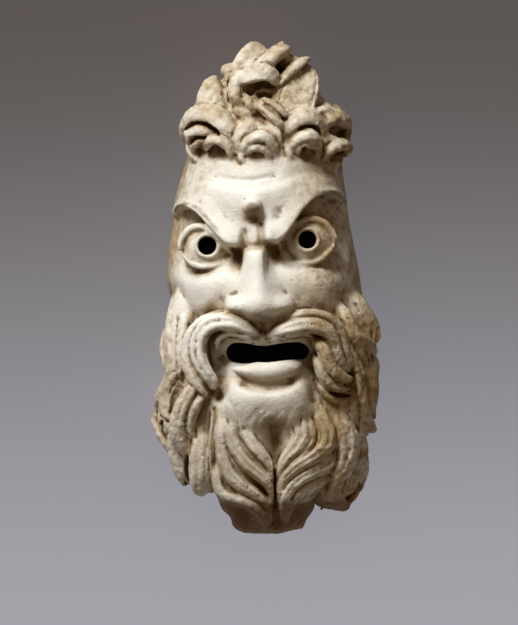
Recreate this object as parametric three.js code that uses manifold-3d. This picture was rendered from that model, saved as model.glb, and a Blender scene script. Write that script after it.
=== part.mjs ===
// A marble theatre mask: the hollow front half of a scowling, bearded head, cut as one block.
// Millimetres. The mask lies on its flat back rim: +X is to the right of someone who looks at
// the face, +Y runs from beard to hair, and +Z is the way the face looks. The origin is the
// middle of the overall outline, on the plane that the rim lies on.
import * as THREE from 'three';
import { mergeVertices } from 'three/addons/utils/BufferGeometryUtils.js';
import Module from 'manifold-3d';

// Driving dimensions. Points are [x, y] in face coordinates, whose x = 0 runs down the nose.
const SECTION_POWER = 2.5; // 2 is an ellipse, more is squarer
const WALL = 20; // marble between the face and the hollow behind it
const BELOW = 8; // how far the blank is carried below the rim before it is cut flat
const COLUMNS = 44; // facets across the face
const FACE_ROW = 4;
const PLAIN_ROW = 9;
const LOCK_SIDES = 6;
const LOCK_RINGS = 7;
const TIP_SHARE = 0.35; // a lock's width at its tip, as a share of its full width
const FACETS = 8600; // what the finished surface is thinned to
const DRILL_RADIUS = 6.5; // the drilled pupils
const BALL_RADIUS = 18.5;
const IRIS_RADIUS = 8; // the raised ring round each pupil

// The blank, as [y, middle x, half width, depth] from the break below the beard to the crown.
const BLANK = [
  [-170.5, 3, 13, 30],
  [-166, 6, 26, 38],
  [-155, 5, 32, 44],
  [-143, 5, 39, 50],
  [-132, 8, 54, 55],
  [-112, 6, 66, 62],
  [-90, 4, 73, 67],
  [-60, 6, 72, 72],
  [-40, 6, 70, 75],
  [-20, 5, 67, 77],
  [0, 2, 66, 78],
  [20, 1, 65, 79],
  [45, 0, 62, 80],
  [70, 1, 58, 78],
  [90, 3, 54, 74],
  [110, 4, 53, 68],
  [125, 2, 47, 62],
  [142, 3, 34, 54],
  [152, 4, 20, 46],
];

// The surface that hair and beard lie on, which is wider than the face itself.
const HAIR_SKIN = [
  [-170, 4, 40, 34],
  [-145, 5, 60, 52],
  [-120, 5, 71, 61],
  [-90, 4, 78, 68],
  [-60, 5, 77, 73],
  [-30, 6, 73, 76],
  [0, 4, 69, 78],
  [60, 1, 62, 80],
  [100, 4, 56, 71],
  [125, 3, 52, 63],
  [150, 3, 46, 54],
  [170, 3, 42, 48],
];

// The brow's edge, as [x, y] from the left temple to the nose, and from the nose to the right.
const LEFT_BROW = [[-60, 50], [-57, 55], [-51, 58], [-44, 55], [-37, 47], [-30, 39], [-22, 31], [-14, 28]];
const RIGHT_BROW = [
  [3, 31], [9, 31], [15, 33.5], [21, 41], [27, 51], [33, 59.5], [39, 64.5], [46, 65], [53, 62], [58, 57],
];

// Each eye: the ball's middle, the drilled pupil, and the corners and reach of the opening.
const EYES = [
  { ball: [-36, 27, 54], pupil: [-36.5, 28], inner: [-18.5, 20.5], outer: [-52, 23.5], top: 15.5, low: -6.5 },
  { ball: [32.5, 32, 55], pupil: [32.5, 32.5], inner: [14.5, 23], outer: [49.5, 30], top: 17, low: -8 },
];

// Locks of hair and beard. `via` is the route, root first; `lift` is how far its middle line
// stands off the skin at root, middle and tip; `half` is half its width.
const MOUSTACHE = [
  { via: [[-10, -22], [-28, -20], [-43, -27], [-50, -42], [-47, -57], [-38, -73]], half: 5.5, lift: [2, 6, 3] },
  { via: [[-1, -32], [-16, -25], [-31, -28], [-38, -40], [-36, -54], [-29, -69]], half: 5.5, lift: [5, 8, 2] },
  { via: [[-4, -36], [-16, -32], [-25, -33.5], [-31, -40]], half: 2.4, lift: [6, 6, 0] },
  { via: [[-44, -48], [-42, -60], [-34, -72]], half: 4, lift: [2, 7, 3] },
  { via: [[12, -25], [25, -19], [40, -17.5], [50, -26], [56, -40], [68, -62]], half: 5, lift: [2, 6, 3] },
  { via: [[4, -34], [16, -28], [30, -24], [43, -27], [51, -38], [61, -58]], half: 5, lift: [5, 8, 4] },
  { via: [[38, -35], [46, -41], [52, -50], [59, -59]], half: 4.5, lift: [2, 7, 5] },
  { via: [[39, -38], [42, -53], [48, -64], [63, -66]], half: 5, lift: [0, 7, 5] },
];

const BEARD = [
  { via: [[-19, -88], [-15, -99], [-3, -111], [6, -120], [9.5, -132]], half: 6.7, lift: [-4, 3, 2] },
  { via: [[-22, -90], [-17, -111], [-5, -122], [4, -131], [8, -146]], half: 7.7, lift: [-4, 4, 3] },
  { via: [[-27, -88], [-26, -112], [-19, -129], [-6, -139], [7, -154]], half: 7.7, lift: [-4, 4, 3] },
  { via: [[-30, -120], [-27, -138], [-14, -146], [0, -153], [5, -163]], half: 7.2, lift: [-4, 4, 4] },
  { via: [[22, -88], [26, -99], [22, -110], [15, -119], [13, -129]], half: 6.7, lift: [-4, 3, 2] },
  { via: [[31, -86], [35, -99], [29, -111], [19, -122], [13, -134]], half: 7.2, lift: [-4, 4, 3] },
  { via: [[41, -86], [47, -102], [40, -121], [24, -131], [14, -146]], half: 8.2, lift: [-4, 5, 3] },
  { via: [[51, -112], [45, -130], [32, -138], [21, -145], [15, -161]], half: 7.2, lift: [-4, 4, 4] },
];

const LEFT_HAIR = [
  { via: [[-53, 4], [-57, -20], [-57, -45], [-53, -62]], half: 8, lift: [-4, 1, 1] },
  { via: [[-60, -12], [-65, -30], [-65, -48], [-60, -64]], half: 6.5, lift: [-4, 0, -1] },
  { via: [[-57, -56], [-64, -68], [-68.5, -82], [-67.5, -98], [-60, -116]], half: 6, lift: [0, 1, -3] },
  { via: [[-46, -56], [-52, -72], [-58, -86], [-55, -100], [-48, -115]], half: 7, lift: [-2, 2, 2] },
  { via: [[-37, -74], [-46, -85], [-51, -97], [-48, -113]], half: 6.5, lift: [0, 4, 2] },
  { via: [[-34, -86], [-35, -110], [-36, -141]], half: 8, lift: [-4, 1, 2] },
  { via: [[-44, -102], [-46, -122], [-42, -141]], half: 8, lift: [-3, 2, 0] },
  { via: [[-60, -90], [-57, -112], [-52, -137]], half: 6, lift: [-3, 0, -2] },
  { via: [[-65, -88], [-66, -102], [-60, -115]], half: 5.5, lift: [-7, -5, -8] },
];

const RIGHT_HAIR = [
  { via: [[62, 6], [70, -8], [76, -22], [78, -37]], half: 7.5, lift: [-5, 0, -2] },
  { via: [[57, -10], [62, -28], [70, -42], [79, -50]], half: 7.5, lift: [-3, 1, -1] },
  { via: [[74, -42], [79, -54], [77, -68], [76, -80]], half: 5.5, lift: [-4, -1, -4] },
  { via: [[57, -32], [60, -50], [68, -66]], half: 6, lift: [-2, 2, 2] },
  { via: [[64, -58], [65, -76], [71, -90], [80, -98]], half: 6.5, lift: [-2, 1, -2] },
  { via: [[75, -74], [80, -87], [78, -100]], half: 5.5, lift: [-5, -2, -4] },
  { via: [[58, -62], [60, -82], [66, -102]], half: 7.5, lift: [-2, 2, 0] },
  { via: [[42, -62], [50, -75], [60, -81], [64, -94]], half: 6, lift: [-3, 2, 1] },
  { via: [[51, -92], [57, -108], [60, -122], [54, -138]], half: 8, lift: [-4, 2, 1] },
  { via: [[62, -98], [69, -114], [70, -130], [64, -147]], half: 6.5, lift: [-3, 0, -2] },
  { via: [[52, -116], [54, -134], [59, -151]], half: 8, lift: [-3, 1, -1] },
  { via: [[44, -126], [47, -142], [54, -153]], half: 7, lift: [-3, 0, -1] },
];

const FOREHEAD_CURLS = [
  { centre: [-35, 103], radius: 14, from: -20, to: 205, half: 7, lift: [-2, 3, 0] },
  { centre: [-37, 101], radius: 7, from: -40, to: 200, half: 4.5, lift: [-2, 4, 2] },
  { centre: [-38, 95], radius: 7.5, from: 190, to: 320, half: 4.5, lift: [-3, -1, -2] },
  { centre: [-29, 94], radius: 7, from: -40, to: 165, half: 4.5, lift: [-3, 4, 3] },
  { centre: [-5, 102], radius: 9, from: -10, to: 200, half: 6, lift: [-3, 2, 0] },
  { centre: [0, 92], radius: 9, from: -30, to: 175, half: 4.2, lift: [-3, 4, 2] },
  { centre: [-5, 88], radius: 7.5, from: 0, to: 205, half: 4.2, lift: [-1, 6, 4] },
  { centre: [31, 104], radius: 11, from: -30, to: 200, half: 6.5, lift: [-3, 2, 0] },
  { centre: [31, 96], radius: 7.5, from: -40, to: 190, half: 4.5, lift: [-3, 5, 3] },
  { centre: [51, 108], radius: 8, from: -30, to: 200, half: 6.5, lift: [-3, 1, -1] },
  { centre: [51, 94], radius: 7.5, from: -10, to: 180, half: 5, lift: [-4, -1, -3] },
];

const TOPKNOT = [
  { via: [[-29, 106], [-33, 126], [-32, 145]], half: 12, thick: 9, tip: 0.45, lift: [-8, -3, -1] },
  { via: [[-6, 112], [-12, 138], [-4, 167.5]], half: 13, thick: 14, tip: 0.6, lift: [-8, 0, 4] },
  { via: [[6, 116], [8, 142], [12, 167.5]], half: 12, thick: 13, tip: 0.6, lift: [-8, 0, 4] },
  { via: [[-2, 132], [-14, 144], [-25, 150]], half: 9, thick: 9, tip: 0.6, lift: [-3, -1, -1] },
  { via: [[-17, 126], [-16, 141], [-4, 146], [8, 143], [12, 134]], half: 5.5, thick: 7, tip: 0.7, lift: [4, 10, 8] },
  { via: [[-4, 132], [8, 125], [19, 116]], half: 4, thick: 6, tip: 0.7, lift: [6, 10, 7] },
  { via: [[-6, 127], [5, 120], [15, 108]], half: 4, thick: 6, tip: 0.7, lift: [6, 10, 7] },
  { via: [[3, 118], [10, 107], [14, 95]], half: 5, thick: 6, lift: [0, 4, 2] },
  { via: [[-20, 137], [-18, 124], [-12, 112]], half: 6, thick: 7, lift: [0, 3, 0] },
  { via: [[20, 104], [25, 128], [31, 152]], half: 12, thick: 9, tip: 0.7, lift: [-8, -1, 1] },
  { via: [[11, 133], [19, 144], [31, 156]], half: 4.5, thick: 6, tip: 0.7, lift: [3, 7, 5] },
  { via: [[28, 104], [34, 117], [38, 126]], half: 11, thick: 9, tip: 0.6, lift: [-8, -3, -4] },
  { via: [[43, 102], [49, 114], [52, 123]], half: 10, thick: 9, tip: 0.6, lift: [-8, -4, -4] },
];

const CHIN_STRANDS = [
  [[-14, -80], [-19, -88], [-20, -98]],
  [[-4, -83], [-12, -90], [-13, -99]],
  [[2, -86], [-7, -93], [-9, -101]],
  [[10, -86], [6, -94], [-2, -98]],
  [[17, -84], [20, -92], [18, -100]],
  [[25, -82], [28, -92], [26, -102]],
];

// Rounded masses of the face, as ellipsoids: the tip and wings of the nose, and the forehead's knob.
const EGGS = [
  { middle: [0, -10, 92], radii: [13.5, 9, 11] },
  { middle: [-13.5, -11.5, 83], radii: [9.5, 7.5, 11] },
  { middle: [15, -11, 83], radii: [9.5, 7.5, 11] },
  { middle: [-6, 55, 80], radii: [5.5, 4.5, 8] },
];

const LOWER_LIP = {
  via: [[-22, -56.5], [-8, -57.5], [5, -57], [18, -56.5], [31, -54.5]],
  half: 5,
  thick: 5,
  lift: [-14, -2, -14],
};

// The open mouth, as the four bends of its edge: [control, control, end] after the first point.
const MOUTH_START = [-17, -38];
const MOUTH_BENDS = [
  [[-8, -37.5], [-4, -40], [3, -40]],
  [[10, -40], [12, -37.5], [24, -37.5]],
  [[37, -38], [36, -51], [28, -53]],
  [[14, -54], [-4, -54], [-18, -53]],
  [[-26, -52], [-25, -39], [-17, -38]],
];

// A smooth curve through [at, value] pairs, flat beyond both ends.
function through(pairs) {
  const last = pairs.length - 1;
  const slope = (j, k) => (pairs[k][1] - pairs[j][1]) / (pairs[k][0] - pairs[j][0]);
  return (at) => {
    if (at <= pairs[0][0]) return pairs[0][1];
    if (at >= pairs[last][0]) return pairs[last][1];
    const i = pairs.findIndex((pair) => pair[0] > at) - 1;
    const [a0, v0] = pairs[i];
    const [a1, v1] = pairs[i + 1];
    const m0 = slope(Math.max(i - 1, 0), i + 1) * (a1 - a0);
    const m1 = slope(i, Math.min(i + 2, last)) * (a1 - a0);
    const t = (at - a0) / (a1 - a0);
    const ease = t * t * (3 - 2 * t);
    return v0 + (v1 - v0) * ease + m0 * t * (1 - t) ** 2 - m1 * t * t * (1 - t);
  };
}

function outline(stations) {
  const column = (c) => through(stations.map((s) => [s[0], s[c]]));
  return { middle: column(1), half: column(2), depth: column(3) };
}

const blank = outline(BLANK);
const skin = outline(HAIR_SKIN);

// Height and outward direction of an outline's surface at a point of the picture plane.
function surfaceAt(form, x, y) {
  const across = THREE.MathUtils.clamp((x - form.middle(y)) / form.half(y), -0.96, 0.96);
  const z = form.depth(y) * (1 - Math.abs(across) ** SECTION_POWER) ** (1 / SECTION_POWER);
  const lean = (Math.sign(across) * Math.abs(across) ** (SECTION_POWER - 1)) / form.half(y);
  const rise = (z / form.depth(y)) ** (SECTION_POWER - 1) / form.depth(y);
  return { z, out: new THREE.Vector3(lean, 0, rise).normalize() };
}

const smooth = (from, to, v) => THREE.MathUtils.smoothstep(v, from, to);

function mound(x, y, cx, cy, rx, ry, height) {
  return height * Math.exp(-(((x - cx) / rx) ** 2) - ((y - cy) / ry) ** 2);
}

// A raised (or, with a height below zero, a cut) line along a route of [x, y] points.
function ridge(x, y, route, width, height) {
  let near = Infinity;
  for (let i = 0; i + 1 < route.length; i++) {
    const [ax, ay] = route[i];
    const [bx, by] = route[i + 1];
    const share = ((x - ax) * (bx - ax) + (y - ay) * (by - ay)) / ((bx - ax) ** 2 + (by - ay) ** 2);
    const t = THREE.MathUtils.clamp(share, 0, 1);
    near = Math.min(near, Math.hypot(x - ax - t * (bx - ax), y - ay - t * (by - ay)));
  }
  return height * Math.exp(-((near / width) ** 2));
}

// The brow's bulge and the hollow below it that holds the eye.
function browAndSocket(x, y, brow, edge, leftFade, rightFade) {
  const [from, to] = [brow[0][0], brow.at(-1)[0]];
  const inside = smooth(from - 1, from + leftFade, x) * (1 - smooth(to - rightFade, to + 1, x));
  const below = edge(x) - y;
  const bulge = 4 * smooth(-22, -2, below) * (1 - smooth(0, 4, below));
  const hollow = 11 * smooth(0, 5, below) * (1 - smooth(14, 42, below));
  return inside * (bulge - hollow);
}

const leftEdge = through(LEFT_BROW);
const rightEdge = through(RIGHT_BROW);
const noseRise = through([[-21, 0], [-17, 20], [-13, 23], [-7, 22], [0, 18], [9, 13.5], [19, 12], [24, 8], [29, 0]]);
const noseWidth = through([[-20, 13], [-12, 13], [0, 10], [9, 8.5], [20, 10.5], [27, 9]]);

// How far the carved face stands above the blank (or, below zero, is cut into it).
function relief(x, y) {
  return (
    browAndSocket(x, y, LEFT_BROW, leftEdge, 14, 4) +
    browAndSocket(x, y, RIGHT_BROW, rightEdge, 4, 14) +
    // the two folds across the forehead
    ridge(x, y, [[-50, 68], [-28, 69], [-5, 66], [20, 71], [38, 73]], 7, 2.5) +
    ridge(x, y, [[-24, 76.5], [-8, 74], [8, 75], [18, 77.5]], 3, -1.2) +
    // the frown: two rounded brow heads, with a furrow on each side of the nose root
    mound(x, y, -17, 37, 8, 9, 3) + mound(x, y, 9, 40, 8, 9, 3) + mound(x, y, -7, 36, 4, 4, 1.5) +
    ridge(x, y, [[-11, 27], [-10, 44]], 3, -3.5) + ridge(x, y, [[1, 27], [1, 44]], 3, -4) +
    // the inner corners of the eyes
    mound(x, y, -17, 18, 7, 9, -7) + mound(x, y, 14, 20, 7, 10, -7) +
    // the bridge of the nose, from its broad root to the tip
    noseRise(y) * Math.exp(-(Math.abs((x + 1) / noseWidth(y)) ** 2.4)) +
    // the cheeks, the fold beside the nose, and the bags under the eyes
    mound(x, y, -42, -2, 17, 15, 5) + mound(x, y, 46, 0, 17, 15, 5) +
    ridge(x, y, [[-23, -4], [-30, -14], [-44, -22]], 5, -3) +
    ridge(x, y, [[25, -4], [34, -12], [48, -18]], 5, -3) +
    ridge(x, y, [[-48, 10], [-38, 8], [-27, 10]], 3, -1.5) +
    ridge(x, y, [[20, 12], [32, 11], [44, 15]], 3, -1.5) +
    // the muzzle: the recess around the mouth, the chin, and the channel on each side of it
    mound(x, y, 5, -44, 34, 13, -11) + mound(x, y, 7, -76, 26, 14, 6) +
    ridge(x, y, [[-31, -44], [-29, -75], [-33, -104]], 7, -10) +
    ridge(x, y, [[38, -44], [40, -70], [50, -90]], 7, -10) +
    mound(x, y, 9, -104, 10, 13, -9) +
    CHIN_STRANDS.reduce((sum, strand) => sum + ridge(x, y, strand, 1.8, 1.6), 0)
  );
}

// A closed box whose front is bent onto the blank's section and whose back lies below the rim.
function blankGeometry(rows, columns, inset, carve = () => 0) {
  const geometry = new THREE.BoxGeometry(1, 1, 1, columns, rows.length - 1, 1);
  const position = geometry.getAttribute('position');
  const bend = (s) => Math.sign(s) * Math.abs(s) ** (2 / SECTION_POWER);
  for (let i = 0; i < position.count; i++) {
    const y = rows[Math.round((position.getY(i) + 0.5) * (rows.length - 1))];
    const turn = (0.8 * position.getX(i) + 0.8 * position.getX(i) ** 3) * Math.PI;
    const x = blank.middle(y) + (blank.half(y) - inset) * bend(Math.sin(turn));
    const z = (blank.depth(y) - inset) * bend(Math.max(Math.cos(turn), 0));
    const at = new THREE.Vector3(x, y, z).addScaledVector(surfaceAt(blank, x, y).out, carve(x, y));
    at.z -= BELOW * (1 - smooth(0, 12, at.z));
    if (position.getZ(i) < 0) at.z = -2 * BELOW;
    position.setXYZ(i, at.x, y, at.z);
  }
  return geometry;
}

// A comma curl's route turns round a centre; any other lock runs through its own points.
function routeOf(lock) {
  if (lock.via) {
    const curve = new THREE.SplineCurve(lock.via.map(([x, y]) => new THREE.Vector2(x, y)));
    return (t) => curve.getPointAt(t).toArray();
  }
  return (t) => {
    const turn = THREE.MathUtils.degToRad(lock.from + t * (lock.to - lock.from));
    return [lock.centre[0] + lock.radius * Math.cos(turn), lock.centre[1] + lock.radius * Math.sin(turn)];
  };
}

// The middle line of a lock in space, and the outward direction of the skin below it.
function laidOnSkin(lock) {
  const route = routeOf(lock);
  const [root, middle, tip] = lock.lift;
  return (t) => {
    const [x, y] = route(t);
    const { z, out } = surfaceAt(skin, x, y);
    const lift = root * (1 - t) * (1 - 2 * t) + middle * 4 * t * (1 - t) + tip * t * (2 * t - 1);
    return { at: new THREE.Vector3(x, y, z).addScaledVector(out, lift), out };
  };
}

// A cylinder bent along a middle line, from a blunt root to a tapered tip.
function bentAlong(place, half, thick, swell) {
  const geometry = new THREE.CylinderGeometry(1, 1, 1, LOCK_SIDES, LOCK_RINGS);
  const position = geometry.getAttribute('position');
  const step = 0.02;
  for (let i = 0; i < position.count; i++) {
    const t = 0.5 - position.getY(i);
    const { at, out } = place(t);
    const along = place(Math.min(t + step, 1)).at.sub(place(Math.max(t - step, 0)).at).normalize();
    const side = new THREE.Vector3().crossVectors(out, along).normalize();
    const up = new THREE.Vector3().crossVectors(along, side);
    at.addScaledVector(side, position.getX(i) * half * swell(t));
    at.addScaledVector(up, position.getZ(i) * thick * swell(t));
    position.setXYZ(i, at.x, at.y, at.z);
  }
  return geometry;
}

// A lock fills out over its first third, then tapers to its tip.
function lockGeometry({ half, thick = 0.75 * half, tip = TIP_SHARE, ...lock }) {
  const fullest = 0.35;
  const swell = (t) => {
    if (t < fullest) return 0.7 + 0.3 * smooth(0, fullest, t);
    return 1 - (1 - tip) * ((t - fullest) / (1 - fullest)) ** 2;
  };
  return bentAlong(laidOnSkin(lock), half, thick, swell);
}

// An eyelid lies on the ball, over an opening that is pointed at both corners.
function lidGeometry(eye, reach) {
  const [bx, by, bz] = eye.ball;
  const place = (t) => {
    const ease = (1 - Math.cos(Math.PI * t)) / 2;
    const x = eye.inner[0] + (eye.outer[0] - eye.inner[0]) * ease;
    const level = eye.inner[1] + (eye.outer[1] - eye.inner[1]) * ease;
    const y = level + reach * Math.sin(Math.PI * t) ** 0.85;
    const off = Math.min(Math.hypot(x - bx, y - by), 0.93 * BALL_RADIUS);
    const z = bz + Math.sqrt((BALL_RADIUS + 1) ** 2 - off ** 2);
    const at = new THREE.Vector3(x, y, z);
    return { at, out: at.clone().sub(new THREE.Vector3(bx, by, bz)).normalize() };
  };
  return bentAlong(place, 2.6, 2.8, (t) => 0.7 + 0.3 * Math.sin(Math.PI * t));
}

// The raised ring round a pupil, half sunk in the ball.
function irisGeometry({ ball, pupil }) {
  const off = Math.hypot(pupil[0] - ball[0] + IRIS_RADIUS, pupil[1] - ball[1]);
  const z = ball[2] + Math.sqrt(BALL_RADIUS ** 2 - off ** 2);
  return new THREE.TorusGeometry(IRIS_RADIUS, 1.6, 6, 18).translate(pupil[0], pupil[1], z);
}

// The rounded rim of the brow, a little above its edge.
function browGeometry(brow) {
  const curve = new THREE.SplineCurve(brow.map(([x, y]) => new THREE.Vector2(x, y + 2.5)));
  const place = (t) => {
    const { x, y } = curve.getPointAt(t);
    const { z, out } = surfaceAt(blank, x, y);
    return { at: new THREE.Vector3(x, y, z).addScaledVector(out, 1.5), out };
  };
  return bentAlong(place, 3.6, 4, (t) => 0.8 + 0.2 * Math.sin(Math.PI * t));
}

const wasm = await Module();
wasm.setup();

function solid(geometry) {
  geometry.deleteAttribute('uv');
  geometry.deleteAttribute('normal');
  const merged = mergeVertices(geometry, 1e-4);
  return new wasm.Manifold(
    new wasm.Mesh({
      numProp: 3,
      vertProperties: merged.getAttribute('position').array,
      triVerts: new Uint32Array(merged.index.array),
    }),
  );
}

function rowsBetween(low, high, spacing) {
  const rows = [low];
  while (rows.at(-1) < high) rows.push(Math.min(rows.at(-1) + spacing(rows.at(-1)), high));
  return rows;
}

function egg(middle, radii) {
  return solid(new THREE.SphereGeometry(1, 12, 8).scale(...radii).translate(...middle));
}

function carvedHead() {
  const rows = rowsBetween(BLANK[0][0], BLANK.at(-1)[0], (y) => {
    if (y >= -23 && y < -12) return FACE_ROW / 2;
    return y > -86 && y < 84 ? FACE_ROW : PLAIN_ROW;
  });
  let head = solid(blankGeometry(rows, COLUMNS, 0, relief));
  for (const locks of [MOUSTACHE, BEARD, LEFT_HAIR, RIGHT_HAIR, FOREHEAD_CURLS, TOPKNOT, [LOWER_LIP]]) {
    for (const lock of locks) head = head.add(solid(lockGeometry(lock)));
  }
  for (const brow of [LEFT_BROW, RIGHT_BROW]) head = head.add(solid(browGeometry(brow)));
  for (const eye of EYES) {
    head = head.add(egg(eye.ball, [BALL_RADIUS, BALL_RADIUS, BALL_RADIUS]));
    head = head.add(solid(lidGeometry(eye, eye.top))).add(solid(lidGeometry(eye, eye.low)));
    head = head.add(solid(irisGeometry(eye)));
  }
  for (const { middle, radii } of EGGS) head = head.add(egg(middle, radii));
  return head;
}

function mouthGeometry() {
  const shape = new THREE.Shape().moveTo(...MOUTH_START);
  for (const bend of MOUTH_BENDS) shape.bezierCurveTo(...bend.flat());
  const options = { depth: 80, bevelEnabled: false, curveSegments: 4 };
  return new THREE.ExtrudeGeometry(shape, options).translate(0, 0, 10);
}

let mask = carvedHead();
mask = mask.subtract(solid(blankGeometry(rowsBetween(-104, 92, () => 14), 16, WALL)));
mask = mask.subtract(solid(mouthGeometry()));
for (const { pupil } of EYES) {
  const drill = new THREE.CylinderGeometry(DRILL_RADIUS, DRILL_RADIUS, 90, 20).rotateX(Math.PI / 2);
  mask = mask.subtract(solid(drill.translate(pupil[0], pupil[1], 55)));
}
mask = mask.subtract(solid(new THREE.BoxGeometry(400, 600, 100).translate(0, 0, -50)));

// The squared distance to a face's plane, as the ten terms of a symmetric 4 x 4 form.
function planeForm(a, b, c) {
  const n = new THREE.Vector3().subVectors(b, a).cross(new THREE.Vector3().subVectors(c, a));
  const area = n.length() || 1;
  n.divideScalar(area);
  const d = -n.dot(a);
  const plane = [n.x, n.y, n.z, d];
  return plane.flatMap((p, i) => plane.slice(i).map((q) => p * q * area));
}

function formError(q, { x, y, z }) {
  const squares = q[0] * x * x + q[4] * y * y + q[7] * z * z + q[9];
  return squares + 2 * (q[1] * x * y + q[2] * x * z + q[5] * y * z + q[3] * x + q[6] * y + q[8] * z);
}

// Merges the edges whose loss moves the surface least, until no more than `wanted` faces are
// left. A merge never folds a face over, and a corner on the rim's plane stays on it.
function thinned(points, faces, wanted) {
  const forms = points.map(() => new Array(10).fill(0));
  const cross = (f, i, p) => {
    const [a, b, c] = f.map((j) => (j === i ? p : points[j]));
    return new THREE.Vector3().subVectors(b, a).cross(new THREE.Vector3().subVectors(c, a));
  };
  for (const f of faces) {
    const form = planeForm(...f.map((j) => points[j]));
    for (const j of f) forms[j] = forms[j].map((term, k) => term + form[k]);
  }
  const cheapest = (a, b) => {
    const form = forms[a].map((term, k) => term + forms[b][k]);
    let places = [points[a], points[b], points[a].clone().lerp(points[b], 0.5)];
    const onRim = [a, b].filter((j) => points[j].z < 1e-6);
    if (onRim.length === 1) places = [points[onRim[0]]];
    const merges = places.map((at) => ({ a, b, at, cost: formError(form, at) }));
    return merges.sort((p, q) => p.cost - q.cost)[0];
  };
  while (faces.length > wanted) {
    const around = points.map(() => []);
    for (const f of faces) for (const j of f) around[j].push(f);
    const pairs = faces.flatMap(([a, b, c]) => [[a, b], [b, c], [c, a]]).filter(([p, q]) => p < q);
    const edges = pairs.map(([p, q]) => cheapest(p, q)).sort((p, q) => p.cost - q.cost);
    const touched = new Set();
    const gone = new Set();
    for (const { a, b, at } of edges.slice(0, Math.ceil(edges.length / 6))) {
      if (faces.length - gone.size <= wanted) break;
      const shared = around[a].filter((f) => f.includes(b));
      const moved = [...around[a], ...around[b]].filter((f) => !shared.includes(f));
      const near = new Set(moved.flat());
      const besideB = new Set(around[b].flat());
      const common = new Set(around[a].flat().filter((j) => j !== a && j !== b && besideB.has(j)));
      if ([...near].some((j) => touched.has(j)) || common.size !== 2) continue;
      const folds = moved.some((f) => {
        const i = f.includes(a) ? a : b;
        const [before, after] = [cross(f, i, points[i]), cross(f, i, at)];
        return before.dot(after) < 0.4 * before.length() * after.length() || after.length() < 0.02;
      });
      if (folds) continue;
      points[a] = at.clone();
      forms[a] = forms[a].map((term, k) => term + forms[b][k]);
      for (const f of shared) gone.add(f);
      for (const f of around[b]) f[f.indexOf(b)] = a;
      for (const j of near) touched.add(j);
      touched.add(a).add(b);
    }
    if (gone.size === 0) break;
    faces = faces.filter((f) => !gone.has(f));
  }
  return faces;
}

// The largest set of faces that hang together: without it, voids that the locks close between
// them would stay inside the marble.
function outerShell(faces, count) {
  const group = Array.from({ length: count }, (_, i) => i);
  const find = (i) => {
    while (group[i] !== i) i = group[i] = group[group[i]];
    return i;
  };
  for (const [a, b, c] of faces) {
    group[find(a)] = find(b);
    group[find(b)] = find(c);
  }
  const sizes = new Map();
  for (const [a] of faces) sizes.set(find(a), (sizes.get(find(a)) || 0) + 1);
  const largest = [...sizes].sort((p, q) => q[1] - p[1])[0][0];
  return faces.filter(([a]) => find(a) === largest);
}

const made = mask.getMesh();
const points = [];
for (let i = 0; i < made.vertProperties.length; i += 3) {
  points.push(new THREE.Vector3().fromArray(made.vertProperties, i));
}
const corners = [];
const same = points.map((_, i) => i);
made.mergeFromVert.forEach((from, i) => {
  same[from] = made.mergeToVert[i];
});
for (let i = 0; i < made.triVerts.length; i += 3) {
  corners.push(Array.from(made.triVerts.slice(i, i + 3), (j) => same[j]));
}
const kept = thinned(points, outerShell(corners, points.length), FACETS);
const geometry = new THREE.BufferGeometry().setFromPoints(kept.flat().map((j) => points[j]));
geometry.computeBoundingBox();
const middle = geometry.boundingBox.getCenter(new THREE.Vector3());
geometry.translate(-middle.x, -middle.y, -geometry.boundingBox.min.z);
geometry.computeVertexNormals();

const marble = new THREE.MeshStandardMaterial({ color: 0xe6dfcf, roughness: 0.6, metalness: 0 });
const carved = new THREE.Mesh(geometry, marble);
carved.name = 'marble_mask';

const group = new THREE.Group();
group.add(carved);

export default group;
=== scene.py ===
"""The marble mask's looks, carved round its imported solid.

Lengths are millimetres in face coordinates: x = 0 runs down the nose, y points to the hair and
z stands up from the flat back rim. They turn into metres where a mesh is written.
"""

import math

import bmesh
import bpy
import numpy as np
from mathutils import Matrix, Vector, noise
from mathutils.bvhtree import BVHTree


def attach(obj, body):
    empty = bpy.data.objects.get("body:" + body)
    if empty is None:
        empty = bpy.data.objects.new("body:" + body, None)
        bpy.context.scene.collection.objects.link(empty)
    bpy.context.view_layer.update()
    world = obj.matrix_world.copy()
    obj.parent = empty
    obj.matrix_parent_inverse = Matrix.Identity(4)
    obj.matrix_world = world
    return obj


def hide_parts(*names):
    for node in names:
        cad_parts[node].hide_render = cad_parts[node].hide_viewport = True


bl_info = {
    "name": "Marble Mask",
    "version": (1, 0, 0),
    "blender": (4, 5, 0),
    "location": "View3D > Sidebar > Mask",
    "description": "Carves a marble theatre mask with curled hair and a long beard",
    "category": "Add Mesh",
}

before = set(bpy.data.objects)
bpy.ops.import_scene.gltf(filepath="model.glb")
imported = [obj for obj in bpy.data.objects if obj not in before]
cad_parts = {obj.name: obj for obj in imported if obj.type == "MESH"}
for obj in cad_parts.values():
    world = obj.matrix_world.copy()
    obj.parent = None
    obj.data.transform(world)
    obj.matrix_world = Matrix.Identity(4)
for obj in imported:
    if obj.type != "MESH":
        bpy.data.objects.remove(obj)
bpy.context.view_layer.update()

MM = 0.001
FACE_ORIGIN = (-4.168, 0.146)  # where the face's own x = 0, y = 0 lies in the frame
SECTION_POWER = 2.5  # 2 is an ellipse, more is squarer
SPREAD = 1.35  # how far each lock reaches under its neighbours
TIP_SINK = 2.5  # how far the tip of each lock dips
SIDE_TURN = 0.4  # how much of the skin's turn to the side a lock follows
VALLEY_RADIUS = 2.4  # valleys between locks narrower than this are filled
WALL = 20  # thickness of the wall round the hollow back
HOLLOW_ENDS = (-104, 92)  # where the hollow back ends, below and above
RIM_SPARE = 8  # how far a blank reaches below the rim until the back is cut flat
MOUTH_PLUG = (10, 96)  # the heights that the mouth is cut between
BALL_RADIUS = 18.5
IRIS_RADIUS = 7.8
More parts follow.
